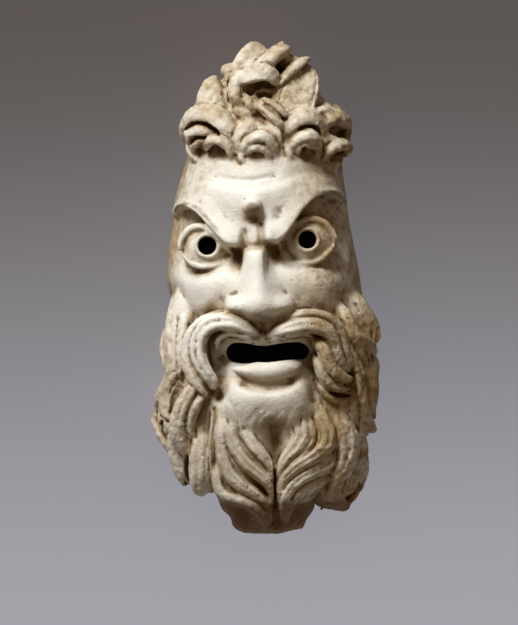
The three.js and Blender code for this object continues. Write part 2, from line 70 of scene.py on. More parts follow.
STRAND_LINE = 1.4  # width and depth of the lines between strands, and of the channel beside a lock
STRAND_CUT = 0.7
CHANNEL = 1.1
CHANNEL_CUT = 1.5
LOOKS = 14  # how many ways each point looks out to find how closed in it is
LOOK_REACH = 0.016  # in metres, as is the next one
LOOK_START = 0.0004
PIXEL = 0.69  # what a photo pixel covers at the height of the hair and beard
PHOTO_HEIGHT = 625

# The blank, as (y, middle x, half width, depth) from the break below the beard to the crown.
BLANK = [
    (-170.5, -12, 18, 30), (-167, -19, 31, 37), (-158, -25.5, 36, 43), (-150, -29, 38.5, 48),
    (-143, -32, 42, 51), (-132, -42, 58, 55), (-118, -54, 68, 60), (-105, -62, 69, 63),
    (-90, -68, 77, 67), (-75, -67, 77, 70), (-60, -61, 78, 72), (-40, -63, 76, 75),
    (-20, -60, 73, 77), (0, -64, 70.5, 78), (20, -64, 67.5, 79), (45, -61, 62.5, 80),
    (70, -57, 59, 78), (90, -51, 57, 74), (110, -49, 57, 68), (125, -45, 49, 62),
    (142, -31, 37, 54), (152, -16, 24, 46),
]

# The surface that hair and beard lie on, wider than the blank, as (y, left, right, depth).
HAIR_SKIN = [
    (-170, -36, 44, 36), (-145, -56, 66, 52), (-120, -70, 79, 61), (-90, -80, 88, 68),
    (-60, -78, 88, 73), (-30, -72, 84, 76), (0, -68, 77, 78), (60, -62, 64, 80), (100, -57, 65, 72),
    (125, -54, 60, 65), (150, -50, 54, 57), (170, -46, 50, 51),
]

# Each brow's edge, from the left temple to the nose, and from the nose to the right temple.
LEFT_BROW = [
    (-62, 40), (-60.5, 48), (-55.5, 54.5), (-49, 55.8), (-42.4, 51.8), (-36.6, 45), (-29.3, 36.2),
    (-23, 30), (-17.5, 27.6), (-12, 29),
]
RIGHT_BROW = [
    (3, 32.5), (7, 30.8), (12, 30.4), (17.3, 35.6), (23.1, 44.3), (28.9, 53.6), (34.8, 60.3),
    (40.6, 63.8), (47.9, 64.4), (55, 61), (59.3, 56), (61, 50),
]

EYES = [
    {"ball": (-35.8, 28, 54), "pupil": (-36.2, 28.7),
     "upper": [(-18.2, 21.4), (-24, 28), (-30.8, 36.2), (-38.4, 41), (-45.6, 40.6), (-51, 36.2),
               (-53.8, 30.5), (-53.6, 25)],
     "lower": [(-18.4, 21.2), (-25, 17.8), (-32.2, 15.2), (-40.6, 14.6), (-47.6, 17.6), (-52.6, 24)]},
    {"ball": (32.6, 32, 55), "pupil": (32.5, 32.8),
     "upper": [(13.6, 25.4), (17.2, 34), (24, 42.4), (33.6, 46.4), (42.6, 44.4), (48.4, 38.6),
               (52, 31)],
     "lower": [(13.6, 24.6), (20.4, 19.4), (29, 17), (38.4, 18), (45.6, 23), (51, 30.4)]},
]


def lock(via, half, lift, thick, strands=1, lean=0, scoop=0, deep=6, sink=4):
    """A lock: its route from the root, and along it half its width and how far it stands off the
    skin. Thick is its height over its middle line and deep its reach below, lean tips it about
    its own length in degrees, scoop hollows its front, and sink is how much lower its root is."""
    return {"via": via, "half": half, "lift": lift, "thick": thick, "strands": strands,
            "lean": lean, "scoop": scoop, "deep": deep, "sink": sink}


def gouge(via, half, deep, lift=(0, 0)):
    """A cut along a route, as deep below the hair as it says."""
    return lock(via, half, lift, 9, deep=deep, sink=0)


# Flat masses that carry the locks.
HAIR_MASSES = [
    lock([(-54, 4), (-55, -20), (-55, -45), (-50, -66)], (7, 9, 10, 9), (-9, -4, -3, -3), 4, deep=24),
    lock([(-44, -60), (-50, -78), (-54, -92), (-54, -108)], (9, 13, 14, 9), (-4, -4, -4, -5), 4,
         deep=26),
    lock([(-63, -74), (-65, -86), (-62, -100)], (6, 8, 7), (-10, -8, -9), 4, deep=22),
    lock([(-40, -86), (-43, -105), (-44, -122), (-42, -138)], (8, 12, 12, 8), (-6, -3, -3, -5), 4,
         deep=28),
    lock([(66, 0), (69, -18), (72, -34), (72, -46)], (6, 8, 8, 7), (-10, -6, -6, -6), 4, deep=24),
    lock([(62, -36), (68, -54), (70, -72), (72, -92)], (9, 11, 11, 8), (-5, -4, -4, -6), 4, deep=26),
    lock([(48, -62), (54, -76), (60, -90), (62, -100)], (8, 11, 12, 8), (-5, -3, -3, -5), 4, deep=28),
    lock([(54, -92), (60, -110), (60, -128), (56, -146)], (9, 12, 11, 7), (-5, -3, -3, -4), 4,
         deep=28),
    lock([(-18, -96), (-16, -114), (-12, -132), (-8, -150)], (7, 10, 11, 7), (-8, -3, -2, -3), 4,
         deep=20),
    lock([(32, -96), (34, -112), (30, -130), (24, -148)], (8, 11, 11, 7), (-8, -3, -2, -3), 4, deep=20),
    lock([(-36, 97), (-36, 106), (-34, 116)], (11, 14, 11), (-6, -2, -4), 4, deep=14),
    lock([(0, 97), (0, 106), (2, 116)], (12, 15, 11), (-6, -2, -4), 4, deep=14),
    lock([(34, 97), (36, 106), (40, 116)], (11, 15, 13), (-7, -2, -4), 4, deep=14),
]

MOUSTACHE = [
    lock([(-22, -17), (-31, -19.5), (-40, -24.5), (-46, -33), (-48.5, -43), (-47.5, -53),
          (-44, -63), (-39.5, -70), (-36, -74.5)],
         (1.6, 2.4, 2.8, 3, 3.2, 3.8, 4, 3.4, 1.6), (2, 4, 5, 5, 5, 4, 2), 4.5, lean=-8),
    lock([(-1, -32), (-9, -27.5), (-18, -23.5), (-27, -23.5), (-34.5, -27), (-39.5, -34),
          (-41.5, -43), (-40, -52), (-36.5, -59), (-32.6, -64.6), (-32.4, -70.4)],
         (2, 3.8, 4.8, 4.8, 4.6, 4.6, 4.8, 4.6, 4.2, 3.6, 2.4), (5, 8, 9, 8, 7, 5, 2), 5.5, strands=2,
         lean=10),
    lock([(-4, -37), (-10, -33.5), (-18, -31.3), (-25, -32.5), (-29, -37), (-30, -42)],
         (1.2, 2, 2.2, 2, 1.6, 0.8), (4, 6, 5, 1), 3.5),
    lock([(13, -27), (20, -22), (30, -19), (41, -20), (50, -25.5), (55, -34), (57, -43),
          (61, -52), (66, -61)],
         (1.4, 2.8, 3.4, 3.5, 3.5, 3.2, 3, 2.5, 1.4), (3, 5, 6, 6, 5, 4, 3, 2), 4.5, lean=8),
    lock([(5, -33), (13, -29.5), (24, -26.5), (35, -25.5), (44, -28.5), (49, -35.5), (51.5, -44),
          (55.5, -52), (61, -58)],
         (2, 3.6, 4.4, 4.6, 4.6, 4.2, 3.4, 2.6, 1.4), (5, 8, 9, 8, 7, 6, 5, 3), 5.5, strands=2,
         lean=-10),
    lock([(6, -36.5), (14, -34), (23, -32), (31, -31.5), (37, -34)], (1, 1.8, 2, 1.8, 0.9),
         (4, 6, 5, 1), 3.2),
    lock([(37, -35), (42.5, -42), (45.5, -50), (49.5, -57), (56, -62), (62, -62.5)],
         (1.8, 3.6, 4.2, 4, 3.2, 1.6), (2, 6, 8, 8, 7, 5), 5.5, strands=2, lean=-6),
    lock([(38, -46), (40.5, -56), (45, -64), (52, -69), (60, -69.5)],
         (1.4, 2.6, 3, 2.8, 1.2), (0, 3, 4, 4, 2), 4.5),
    lock([(40, -64), (44, -72), (51, -77), (60, -80)], (1.2, 2.4, 2.6, 1.2), (-3, -1, 0, -2), 4),
]

BEARD = [
    lock([(-14, -84), (-12, -95), (-6, -106.5), (1, -115.5), (6.2, -122), (8.6, -131), (9, -139)],
         (2.5, 3.8, 4.2, 3.8, 3, 2, 0.9), (-6, -2, 1, 3, 3, 1), 5.5, strands=2, lean=8),
    lock([(-21, -80), (-20.5, -97), (-17, -110), (-10.5, -120), (-2.5, -127), (4, -133),
          (7.6, -141), (8.4, -150)],
         (2.6, 4, 4.5, 4.5, 4.2, 3.6, 2.4, 1), (-6, -1, 1, 3, 4, 3), 5.5, strands=2, lean=10),
    lock([(-26.5, -80), (-27, -100), (-25.5, -115), (-21, -127), (-13, -136), (-4, -142),
          (3.2, -148), (6.6, -156), (6.4, -164)],
         (2.2, 3.4, 4, 4.2, 4, 3.8, 3.2, 2.2, 1), (-5, 0, 1, 3, 5, 4, 2), 5.5, strands=2, lean=10),
    lock([(-30, -112), (-29.8, -127), (-28, -137), (-22.5, -143.5), (-14, -147), (-5.5, -150.5),
          (1, -157), (3.4, -165.5)],
         (1.8, 2.8, 3.4, 3.6, 3.6, 3.4, 2.8, 1.4), (-4, 0, 3, 5, 5, 3), 5.5, strands=1, lean=12),
    lock([(24, -82), (30, -94), (31.5, -103), (26.5, -111), (19, -118), (14.4, -126), (12.2, -137)],
         (3.4, 6.4, 7, 6, 4.6, 2.8, 1), (-6, -1, 2, 3, 4, 1), 5.5, strands=3, lean=-8),
    lock([(38, -76), (43, -91), (46.5, -99), (45.5, -107.5), (39, -114.5), (31, -119.5),
          (23, -125), (16.5, -132), (13.6, -142), (12.4, -152)],
         (2.6, 4.4, 5, 5, 4.6, 4.4, 4, 3.2, 2.2, 1), (-6, -1, 3, 4, 5, 4, 2), 5.5, strands=2,
         lean=-8),
    lock([(50.5, -104), (50.5, -114), (45.5, -122.5), (36, -127), (27, -132), (20, -139.5),
          (16.8, -150), (16, -161)],
         (2.2, 3.8, 4.4, 4.4, 4.2, 3.6, 2.8, 1.4), (-5, 0, 3, 5, 5, 3), 5.5, strands=2, lean=-12),
    lock([(50.5, -124), (44, -132.5), (34, -137), (25, -142.5), (19.4, -151), (17.4, -162)],
         (1.6, 3, 3.6, 3.6, 3, 1.8), (-5, 0, 3, 4, 2), 5, lean=-12),
]

LEFT_HAIR = [
    lock([(-58.5, -2), (-59, -16), (-59, -29), (-58, -41), (-57.5, -50), (-59.5, -60),
          (-64.5, -70), (-70, -78), (-72, -87)],
         (2, 4.4, 5, 5, 4.6, 4.2, 3.8, 3.4, 2.4), (-8, -3, 0, 2, 2, 2, 1, 0, -2), 5, strands=2,
         deep=14),
    lock([(-53, -14), (-52.5, -30), (-52, -44), (-52.5, -56), (-56, -64)],
         (2, 3.6, 4, 3.6, 1.8), (-6, -2, 0, 1, -2), 4.5, deep=10),
    lock([(-64, -24), (-66.5, -35), (-67, -44), (-64.5, -53), (-62, -61)],
         (1.6, 2.4, 2.8, 2.8, 1.8), (-4, -2, -2, -2, -2), 4, deep=18),
    lock([(-42, -60), (-46, -70), (-51, -80), (-54, -89), (-55, -98), (-53, -107.5),
          (-49.5, -116)],
         (2, 3.6, 4.4, 4.8, 4.8, 4.4, 2), (-2, 2, 4, 5, 5, 3, 0), 6, strands=2, deep=14),
    lock([(-38, -72), (-42.5, -80), (-46.5, -89), (-47, -98), (-45, -107)], (1.6, 2.6, 2.8, 2.4, 1.2),
         (0, 3, 3, 1, -2), 4, deep=8),
    lock([(-41, -97), (-41, -110), (-40.5, -122), (-40.5, -133), (-41.5, -142.5)],
         (3, 5.4, 6, 6, 3.8), (-6, -1, 2, 3, 1), 6, strands=2, deep=22),
    lock([(-59, -94), (-60, -106), (-58, -118), (-55, -127), (-52, -136)],
         (1.8, 2.8, 3.2, 3.4, 2.2), (-3, 0, 1, 1, -1), 5, deep=22),
    lock([(-72, -83), (-73, -91), (-70, -99), (-65.5, -107), (-61.5, -115)],
         (2, 2.8, 3.2, 3.2, 1.8), (-4, -2, -2, -4), 5, deep=18),
    lock([(-67.5, -76), (-66, -84), (-62, -89.5), (-57.5, -91)], (1.4, 2.4, 2.6, 1.2), (-1, 1, 1, -2),
         3.5, deep=8),
    lock([(-33.5, -78), (-32.5, -90), (-33, -104), (-33.6, -118), (-33.5, -132), (-34, -141)],
         (0.8, 1.6, 2, 2.2, 2.2, 1.6), (-5, -1, 0, 0, 0), 4, deep=16),
]

RIGHT_HAIR = [
    lock([(67, -2), (70.5, -12), (74.5, -21), (78.5, -31), (78.5, -40)], (2, 4, 5, 4.6, 2.4),
         (-9, -3, -1, 0, -2), 5, strands=2, deep=16),
    lock([(57, -12), (60, -24), (62.5, -31.5), (68, -37), (75, -41), (79, -47)],
         (2, 4, 4.6, 4.6, 3.8, 2), (-6, 0, 2, 3, 2, -1), 5.5, strands=2, deep=12),
    lock([(78, -44), (80, -53), (78.5, -63), (75.5, -73), (76.5, -82), (80.5, -90)],
         (2.4, 3, 3.2, 3.2, 3, 1.8), (-3, -2, -2, -2, -2, -4), 5, deep=16),
    lock([(57, -32), (60.5, -43), (65, -51), (68.5, -59), (69.5, -68)], (1.2, 2.2, 2.4, 2.2, 1.2),
         (0, 3, 3, 3, 1), 4, deep=8),
    lock([(59, -43), (62.5, -51), (65.5, -59), (67, -69), (67, -79)], (1.2, 2.2, 2.4, 2.4, 1.2),
         (0, 3, 3, 3, 1), 4, deep=8),
    lock([(61, -31), (66, -42), (71, -50), (73, -57)], (1.2, 2.4, 2.4, 1.2), (-2, 1, 1, -2), 4,
         deep=8),
    lock([(69, -64), (69, -77), (71.5, -87), (76, -95), (80.5, -99.5)], (2.2, 3.2, 3.4, 3, 1.6),
         (0, 2, 1, 0, -2), 5, lean=10, deep=14),
    lock([(64, -84), (68, -94), (75, -101.5)], (3, 3.8, 2.4), (-4, -3, -4), 4.5, deep=16),
    lock([(61, -70), (64, -81), (64.5, -94)], (2.4, 3.2, 2.4), (-2, 0, -2), 4.5, deep=12),
    lock([(52, -80), (55, -90), (58, -100), (59, -110), (56.5, -121), (53, -131), (52.5, -142)],
         (3, 5.2, 6.2, 6.4, 5.4, 4.2, 2.8), (-5, -2, 2, 4, 4, 2, 0), 6, strands=2, deep=20),
    lock([(67, -103), (70.5, -113), (71.5, -124), (69.5, -135), (65, -144), (61, -151)],
         (1.6, 2.4, 2.8, 3, 2.8, 2), (-4, -1, 0, -1, -2, -3), 5, deep=20),
    lock([(66, -106), (65.5, -115), (61.5, -123), (58.5, -132), (57.5, -141)],
         (1.2, 2, 2.2, 2, 1.4), (-2, 1, 2, 1, -1), 4, deep=12),
    lock([(48.5, -128), (49.5, -138), (53, -146.5), (58.5, -151.5), (63, -148)],
         (2, 3.2, 3.6, 3.2, 2), (-3, 0, 1, 0, -2), 5, strands=2, deep=20),
    lock([(42, -132), (45.5, -142), (52, -151)], (2.4, 3, 2.2), (-5, -3, -4), 4.5, deep=16),
]

FOREHEAD_CURLS = [
    lock([(-51.5, 97), (-52, 105), (-48.5, 114), (-41, 119.5), (-32, 119), (-25, 113.5),
          (-19.5, 106), (-17.5, 96)],
         (2.6, 4.6, 5.6, 6, 6.2, 6, 5.4, 2), (-3, 0, 4, 6, 5, 2, -7), 6, lean=-24, deep=10),
    lock([(-48.5, 98), (-46.5, 104.8), (-41, 108.8), (-34.5, 108), (-30, 103.5)],
         (2.2, 3.4, 4, 3.4, 1.8), (0, 3, 5, 4, -1), 4.5, lean=-24, deep=8),
    lock([(-47, 93), (-45, 98.4), (-39.5, 101), (-35, 99)],
         (1.8, 2.6, 2.6, 1.6), (-3, 1, 2, -2), 3.5, lean=-20, deep=8),
    lock([(-50, 101), (-48.5, 93), (-44, 86.6)], (3.6, 3.8, 2), (-4, -4, -9), 4, deep=8),
    lock([(-37, 96), (-32.5, 100.6), (-26.5, 101.4), (-21.6, 97.4), (-19.5, 91), (-20, 84.6)],
         (1.6, 3, 3.4, 3.2, 2.6, 1.2), (2, 6, 6, 3, -2, -9), 4.5, lean=-20, deep=8),
    lock([(-14.5, 92), (-13.6, 101.5), (-9.5, 109), (-4.5, 114.5)], (3.4, 4.8, 5, 2),
         (-4, 2, 3, 0), 5, lean=-10, deep=10),
    lock([(-4, 113), (1.5, 108), (7, 104), (12, 98)], (2, 4.4, 4.6, 2), (-1, 1, 0, -5), 4.5, deep=8),
    lock([(-12, 92), (-9.4, 99), (-3, 103), (3.4, 102.8), (8.6, 98.4), (11.2, 91.6), (11.6, 85)],
         (1.8, 2.8, 3.4, 3.4, 3.2, 2.4, 1.2), (1, 5, 7, 7, 3, -3, -9), 4.5, lean=-22, deep=8),
    lock([(-9.5, 91), (-6.6, 94.8), (-1.4, 96.2), (3.6, 94.2), (6, 89.6), (6.4, 84)],
         (1.4, 2.2, 2.5, 2.4, 2, 1), (0, 4, 5, 2, -3, -9), 3.5, lean=-20, deep=8),
    lock([(-13.5, 93), (-12.6, 88), (-8, 85)], (2, 2.4, 1.4), (-1, -1, -5), 3, deep=8),
    lock([(18, 102), (20, 110.6), (26.5, 116.6), (34, 116.8), (40.6, 112), (43.4, 104),
          (43.4, 95)],
         (2.6, 4.6, 5.4, 5.6, 5.2, 4.2, 1.8), (-3, 2, 5, 5, 2, -3, -9), 6, lean=-24, deep=10),
    lock([(21.5, 93), (23, 99.4), (28, 103.8), (34.6, 104), (39, 99), (40.4, 91.5), (40, 85)],
         (1.8, 3, 3.6, 3.6, 3, 2.2, 1.1), (0, 4, 7, 7, 2, -4, -9), 4.5, lean=-22, deep=8),
    lock([(25, 93), (27.4, 97.2), (31.8, 98.6), (36.4, 97)], (1.6, 2.4, 2.6, 1.6),
         (0, 4, 4, 0), 3.5, lean=-20, deep=8),
    lock([(19.5, 101), (20, 93), (23.5, 85.6)], (2.6, 2.8, 1.3), (-3, -1, -7), 3.5, deep=8),
    lock([(42, 112), (47, 117), (54, 117), (60, 112)], (2.6, 4.4, 4.6, 2.6), (1, 4, 4, -1), 5.5,
         lean=-20, deep=12),
    lock([(59, 118), (61, 110), (60.5, 100)], (2.6, 3.4, 2.6), (-3, -2, -4), 4.5, deep=14),
    lock([(44.5, 91), (48.5, 96.4), (54, 99), (59, 97.6), (61, 92)],
         (2, 3.4, 3.8, 3.2, 1.6), (-2, 3, 4, 2, -4), 4.5, lean=-22, deep=10),
    lock([(44.5, 101), (44.5, 92), (47, 85)], (2.8, 2.8, 1.3), (-3, -3, -8), 3.5, deep=8),
    lock([(58, 92), (56, 86.6), (51.6, 84)], (2.4, 2.6, 1.6), (-5, -5, -8), 3.5, deep=10),
]

TOPKNOT = [
    lock([(-31.6, 104), (-32.4, 116), (-33, 128), (-33, 138), (-31.8, 146.4)],
         (8, 9.6, 9, 6.8, 2.6), (-7, -3, -1, 0, -3), 5, lean=8, deep=14),
    lock([(-4, 100), (-5, 120), (-6, 138), (-3, 152), (0, 163)], (12, 14, 14, 11, 6),
         (-9, -7, -6, -5, -6), 7, deep=16),
    lock([(-2, 146), (-11, 149), (-19, 149), (-25, 149.6)], (4, 5.4, 5, 3), (0, 0, 0, -3), 6,
         deep=14),
    lock([(-11, 134), (-8, 147), (-3, 157), (1.6, 166.4)], (6, 9.4, 9.6, 6), (-3, 0, 1, -2), 6,
         lean=10, deep=16),
    lock([(-12, 148), (-8.6, 159), (-4, 167.4)], (3.4, 4.4, 3), (1, 3, 0), 5, deep=16),
    lock([(9, 156), (12, 162), (15, 166)], (4, 4.4, 3), (-3, -1, -3), 5, deep=16),
    lock([(18, 164.6), (12.5, 162), (7, 157.5), (1, 152.6), (-4, 149.6)], (2.6, 4, 4.6, 4.8, 3),
         (0, 4, 6, 6, 3), 7, lean=22, deep=10),
    lock([(8, 160), (14, 158), (20, 155.6), (26, 155)], (3, 4.6, 4.6, 3), (-4, -4, -4, -4), 5, deep=14),
    lock([(-24, 144), (-17, 145), (-10, 145), (-3, 147.6), (4, 148), (9.6, 144), (11.4, 138.6)],
         (1.6, 3.4, 4.8, 5.6, 5.4, 4, 1.8), (3, 6, 8, 10, 10, 7, 2), 6, lean=-20, scoop=0.45, deep=9),
    lock([(-12, 146), (-16, 140), (-16.6, 132), (-13, 124.6)], (3, 4, 4, 2.4),
         (6, 7, 6, 1), 5.5, deep=9),
    lock([(-9, 131), (-7, 125.6), (-4, 121)], (1.6, 2.6, 1.4), (2, 4, 0), 4.5, deep=7),
    lock([(1, 130.4), (6, 127.2), (12, 122.6), (18.4, 117)], (1.4, 1.9, 2, 1.5), (4, 8, 8, 6), 4,
         deep=7),
    lock([(-3.4, 127), (2.4, 121.8), (9, 116), (15.6, 110)], (1.6, 2.3, 2.6, 2.1), (3, 7, 7, 4), 4.4,
         deep=7),
    lock([(6, 114), (11, 105.5), (14.6, 96)], (3.4, 3.8, 1.2), (0, 2, -2), 5, deep=8),
    lock([(-15, 123.6), (-11.6, 119.5), (-8, 117)], (3, 4, 2.8), (-1, 1, -2), 5, deep=8),
    lock([(19, 104), (21.4, 118), (25, 131), (28.6, 143), (32.6, 155)], (6, 8.6, 10.4, 9.6, 4.8),
         (-6, -2, 0, 1, -2), 6, lean=-6, scoop=0.7, deep=12),
    lock([(12, 136), (15.6, 143), (21.6, 149.8), (28, 155.4), (33.4, 158)],
         (0.8, 2.2, 2.8, 2.8, 1.6), (-2, 2, 3, 3, 0), 4.5, lean=-18, deep=10),
    lock([(34, 106), (36, 119), (36.5, 129)], (5, 5, 2), (-7, -6, -9), 5, deep=14),
    lock([(43, 108), (45, 119), (47.5, 125.5)], (5, 5.6, 3.4), (-4, -2, -5), 6, deep=14),
    lock([(53, 108), (54.5, 118), (55, 123.5)], (4.6, 4.8, 3), (-4, -2, -6), 6, deep=14),
    lock([(36, 117), (40.5, 121.5), (46, 121), (50, 117)], (1.6, 2.4, 2.6, 1.6), (0, 3, 3, 0), 4.5,
         lean=-14, deep=8),
]

LOCK_GROUPS = (HAIR_MASSES, MOUSTACHE, BEARD, LEFT_HAIR, RIGHT_HAIR, FOREHEAD_CURLS, TOPKNOT)

# The tip of the nose and the knob between the brows, as (middle, radii), then the nostrils.
EGGS = [
    ((0.2, -12.6, 82.4), (11.4, 8.6, 14)),
    ((-5.2, 55.4, 82.4), (6.4, 5.6, 8)),
]

NOSTRILS = [((-9.4, -21.4, 80), (4, 2.2, 5)), ((9.8, -21, 80), (4, 2.2, 5))]

LOWER_LIP = lock(
    [(-20.4, -55.6), (-13, -56.8), (-5, -57.6), (4, -57.8), (13, -56.8), (22, -54.8), (29, -52.6)],
    (0.8, 2.8, 4.6, 5.3, 5.3, 4.4, 1), (-9, -3, 0, 1, 0, -3, -9), 7, deep=10)

# The open mouth's edge: bezier bends, each from the last point, as two controls and an end.
MOUTH_START = (-17, -38)
MOUTH_BENDS = [
    ((-8, -37.5), (-4, -40), (3, -40)),
    ((10, -40), (12, -37.5), (24, -37.5)),
    ((37, -38), (36, -48), (28.6, -49.6)),
    ((19, -48.8), (10, -51.6), (3, -51.8)),
    ((-4, -51), (-12, -53), (-18, -51.6)),
    ((-25, -50), (-25, -39), (-17, -38)),
]

# Deep cuts between the halves of the beard, in the topknot, in the curls and between the locks.
GOUGES = [
    gouge([(10, -122), (10.4, -140), (11, -168)], (0.8, 0.9, 0.9), 2),
    gouge([(-3, 133), (3, 131.6), (9, 132.4)], (1.2, 2.4, 1.2), 8),
    gouge([(-8, 131), (-5, 138), (2, 142), (8.5, 138.5)], (1.6, 3, 3.2, 1.6), 3),
    gouge([(-21, 142), (-20.4, 135), (-20.8, 127)], (1.2, 2, 1.2), 6),
    gouge([(5, 150.6), (11, 151.5), (17.6, 154)], (1.2, 2.6, 1.4), 5),
    gouge([(-47.5, 108), (-42, 113), (-34, 112), (-27.5, 107), (-26, 102)],
          (0.7, 1.2, 1.6, 1.6, 0.8), 2, (3, 3)),
    gouge([(-46, 98.6), (-41.5, 102.8), (-36, 102.6)], (0.8, 1.8, 0.9), 3),
    gouge([(-30, 97.4), (-27, 93), (-26, 87)], (1.2, 2.2, 1), 3),
    gouge([(24, 107.6), (30, 110.4), (37, 109), (40.6, 103)], (0.7, 1.1, 1.4, 0.8), 2, (3, 3)),
    gouge([(28.4, 96.4), (31.4, 91.6), (32.4, 85.6)], (1.6, 3, 1.4), 3.4),
    gouge([(45.5, 107), (52, 107), (59, 106)], (1.8, 3, 2), 5),
    gouge([(49, 93), (54, 90.6), (58.6, 87)], (1.4, 2.8, 1.4), 4),
    gouge([(47, -71), (54, -74), (62, -74.5)], (0.7, 1.2, 0.7), 4),
    gouge([(-51, -56), (-54, -66), (-58, -76), (-61, -87)], (0.8, 2.2, 2.2, 0.8), 2, (1, 1)),
    gouge([(-65, -90), (-66.5, -97), (-64, -104)], (0.8, 1.6, 0.8), 4),
    gouge([(-36.5, -76), (-37.5, -88), (-37, -101)], (1.4, 3.2, 1.6), 3),
    gouge([(-48.6, -114), (-50, -124), (-48.4, -134)], (0.7, 1.1, 0.8), 3),
]

# Fine cut lines in hair, beard and leaves, as width, depth and the lines of that kind.
STROKES = [
    (0.6, 0.5, [
        [(1, -84), (-4, -87), (-8.4, -92), (-8, -98), (-4.6, -102)],
        [(6, -85), (0.6, -88.6), (-2.4, -94), (-0.6, -100)],
        [(13.6, -86), (9, -90.6), (6.6, -95), (7.4, -100)],
        [(19.6, -86), (18.4, -91.6), (14.4, -96.6), (14, -100)],
    ]),
    (0.7, 1, [
        [(-9, -112), (0, -120), (5, -127)],
    ]),
    (0.7, 1.1, [
        [(-18, -117), (-12, -125), (-4, -131), (3, -138), (6, -146)],
        [(-26, -124), (-20, -134), (-11, -141), (-2, -146), (3, -153)],
        [(36, -103), (30, -112), (22, -119), (15.4, -127), (13, -138)],
        [(47, -112), (40, -119.5), (30, -124), (22, -130), (16.4, -139)],
    ]),
    (0.6, 0.9, [
        [(33, -92), (34.5, -101), (28.5, -110)],
        [(28, -90), (29, -101), (22, -111), (16.4, -119)],
        [(40, -86), (42, -96), (39.5, -106), (31, -114)],
        [(-44, -100), (-43, -112), (-43.4, -126), (-43.4, -137)],
        [(-37, -104), (-37.5, -118), (-37.6, -134)],
        [(55, -98), (56, -110), (53, -122), (50.6, -134)],
        [(62, -98), (62.6, -110), (59, -120)],
        [(-57, -20), (-56, -34), (-55, -48), (-57, -58)],
        [(-62, -24), (-62, -38), (-61, -50), (-63, -60), (-68, -70)],
    ]),
    (0.6, 0.8, [
        [(-21, -78), (-16, -88), (-14, -98), (-9, -109)],
        [(-25, -80), (-22, -92), (-20, -105), (-15, -115)],
        [(36, -78), (38.5, -88), (38, -98)],
    ]),
    (0.9, 2.4, [
        [(-31.6, -84), (-30, -96), (-30.4, -112), (-31.6, -126), (-31, -142)],
    ]),
    (0.8, 1.8, [
        [(-28, -22.4), (-34.4, -24), (-39, -27), (-42, -31), (-43.8, -35.5), (-44.6, -41),
         (-44.2, -47), (-42, -53), (-39, -59), (-34.6, -66), (-33, -72)],
    ]),
    (0.7, 1.2, [
        [(65, -26), (65.6, -33), (69, -39), (76, -41.4)],
    ]),
    (0.6, 0.7, [
        [(-39, 127), (-36.4, 134), (-32.4, 139)],
        [(-37, 124), (-33, 130.6), (-28.6, 134.6)],
        [(-35, 121), (-30.6, 126.4), (-26, 129.6)],
    ]),
    (0.5, 0.45, [
        [(17.6, 139), (20.6, 136), (24.6, 130.4)],
        [(19, 142.6), (23, 138.6), (26.6, 133)],
        [(20.6, 146), (25.6, 140.4), (29, 135.4)],
        [(23.6, 149), (27.6, 144.4), (31.6, 138.4)],
    ]),
]

# Soft forms of the face, as (x, y, radius across, radius along, height), hollows below zero.
MOUNDS = [
    # the brow heads, and the hollow under the knob
    (-17.5, 35, 7, 8, 2.6), (8.5, 38, 7, 9, 2.6), (-5.5, 46.5, 6.5, 4, -3), (-5.5, 40, 5, 8, -1.2),
    # the inner corners of the eyes, and the wings of the nose
    (-15, 19.5, 5, 9, -6.5), (11.2, 21.5, 5, 9, -6), (-16.4, -13, 7.6, 7, 8), (16.8, -12.4, 7.6, 7, 8),
    # the cheeks, and the hollows outside them
    (-40, -1, 19, 15, 3.2), (43, 1, 19, 15, 3.2), (-57, -8, 7, 10, -3), (56, -8, 8, 13, -3),
    # the upper lip, parted in the middle, and the recess round the mouth
    (2, -29, 30, 8, 9), (1.5, -28, 8, 5, -7), (4, -45, 33, 9, -12),
    # the hollow where the beard parts
    (10, -102, 9, 9, -5), (10.6, -113, 5, 11, -6),
]

# Cut lines of the face, as (route, width, height).
CREASES = [
    # the wrinkle over the brow's fold, the frown, and the step down to the nose
    ([(-30, 76), (-18, 73.6), (-4, 73.4), (10, 76.4)], 1.4, -1.5),
    ([(-9.6, 29), (-10, 38)], 2.2, -2),
    ([(1, 29), (0.6, 42)], 2.2, -2.6),
    ([(-9, 27.6), (-4.6, 27), (1, 27.8)], 2.2, -2.2),
    # round the wings of the nose
    ([(-17, -4.4), (-20.6, -5.8), (-23.6, -10), (-25, -14.6), (-23.4, -19)], 2.2, -1.7),
    ([(17, -3.8), (20.6, -5.2), (24, -9.4), (25.4, -14), (24, -18)], 2.2, -1.7),
    # the folds beside the nose, and the bags under the eyes
    ([(-26, -8), (-29, -14), (-37, -19), (-46, -22)], 4, -2),
    ([(26.6, -7), (30, -11.6), (38, -15), (50, -18)], 4, -2),
    ([(-53, 15), (-43, 10.4), (-30, 10.6), (-21, 14.6)], 1.6, -0.9),
    ([(17, 16), (26, 12.8), (38, 13.4), (48, 19)], 1.6, -0.9),
    # the parting of the upper lip, the sides of the muzzle, and the crease over the chin
    ([(2, -28), (1.5, -39)], 2, -4),
    ([(-29, -50), (-28, -74)], 6, -5),
    ([(37, -50), (38, -76)], 6, -5),
    ([(-11, -66.5), (-4, -69), (6, -69.8), (15, -68.6), (22, -65.5)], 3, -3),
]

